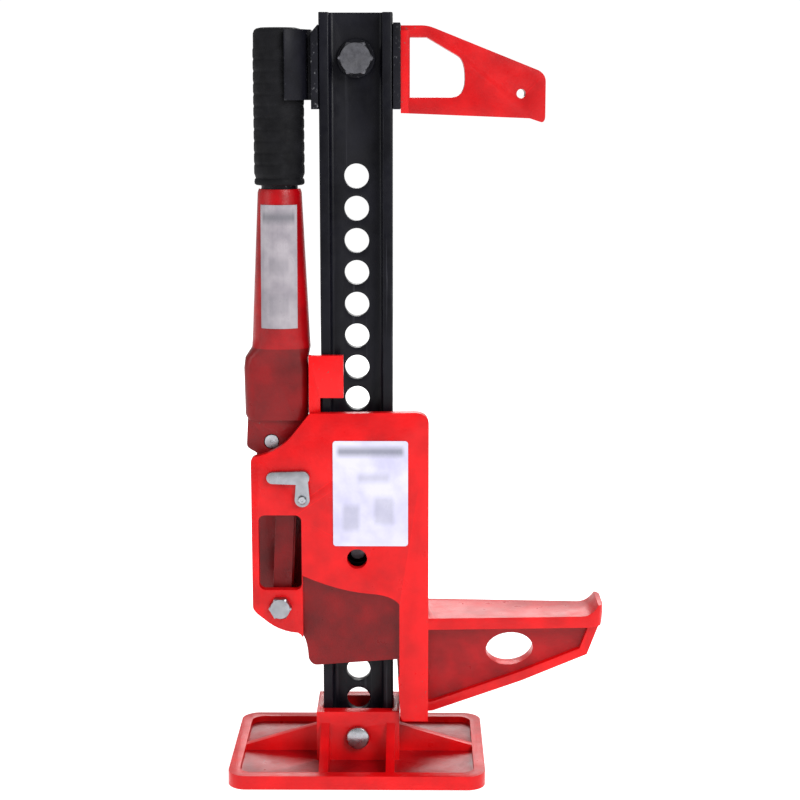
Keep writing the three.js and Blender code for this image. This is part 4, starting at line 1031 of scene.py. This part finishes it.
# ---------------------------------------------------------------- stage


WHITE = (1, 1, 1, 1)
FLOOR_COLOUR = (0.9, 0.9, 0.9, 1)
FLOOR_SIZE = 30
FLOOR_GLOW = 0.66
AIR_LIGHT = 0.42
AIR_SEEN = 1.05
LIT_PLACE = Vector((0.04, 0, 0.3))
# Each lamp's name, place and size in metres, and power in watts.
PANELS = [
    ("key_panel", (1.3, -1.7, 1.7), 1.2, 46),
    ("side_panel", (-2.0, -1.0, 0.9), 1.2, 10),
    ("back_panel", (0.2, 2.0, 1.5), 1.4, 30),
]
CAMERA_PLACE = (0.0467, -1.3763, 0.5517)
CAMERA_DOWN = 0.1781
CAMERA_TURN = 0.009
SENSOR_WIDTH = 36
FOCAL_LENGTH = 77.8


def pale_floor():
    bpy.ops.mesh.primitive_plane_add(size=FLOOR_SIZE)
    floor = bpy.context.object
    floor.name = "studio_floor"
    paint = bpy.data.materials.new("studio_white")
    paint.use_nodes = True
    shader = paint.node_tree.nodes["Principled BSDF"]
    shader.inputs["Base Color"].default_value = FLOOR_COLOUR
    shader.inputs["Roughness"].default_value = 1
    shader.inputs["Specular IOR Level"].default_value = 0
    shader.inputs["Emission Color"].default_value = WHITE
    shader.inputs["Emission Strength"].default_value = FLOOR_GLOW
    floor.data.materials.append(paint)


def white_air():
    """The air is white to the eye and softer as a light, so that the shade stays deep."""
    world = bpy.data.worlds.new("studio_air")
    world.use_nodes = True
    tree = world.node_tree
    soft = tree.nodes["Background"]
    soft.inputs["Color"].default_value = WHITE
    soft.inputs["Strength"].default_value = AIR_LIGHT
    white = tree.nodes.new("ShaderNodeBackground")
    white.inputs["Color"].default_value = WHITE
    white.inputs["Strength"].default_value = AIR_SEEN
    seen = tree.nodes.new("ShaderNodeLightPath")
    either = tree.nodes.new("ShaderNodeMixShader")
    tree.links.new(seen.outputs["Is Camera Ray"], either.inputs[0])
    tree.links.new(soft.outputs[0], either.inputs[1])
    tree.links.new(white.outputs[0], either.inputs[2])
    tree.links.new(either.outputs[0], tree.nodes["World Output"].inputs["Surface"])
    bpy.context.scene.world = world


def lamps():
    for name, place, size, power in PANELS:
        light = bpy.data.lights.new(name, "AREA")
        light.size = size
        light.energy = power
        lamp = bpy.data.objects.new(name, light)
        lamp.location = place
        lamp.rotation_euler = (LIT_PLACE - lamp.location).to_track_quat("-Z", "Y").to_euler()
        bpy.context.scene.collection.objects.link(lamp)


def front_camera():
    lens = bpy.data.cameras.new("front_camera")
    lens.sensor_width = SENSOR_WIDTH
    lens.lens = FOCAL_LENGTH
    camera = bpy.data.objects.new("front_camera", lens)
    camera.location = CAMERA_PLACE
    camera.rotation_euler = (SQUARE - CAMERA_DOWN, 0, CAMERA_TURN)
    bpy.context.scene.collection.objects.link(camera)
    bpy.context.scene.camera = camera


pale_floor()
white_air()
lamps()
front_camera()
bpy.context.scene.view_settings.view_transform = "Standard"
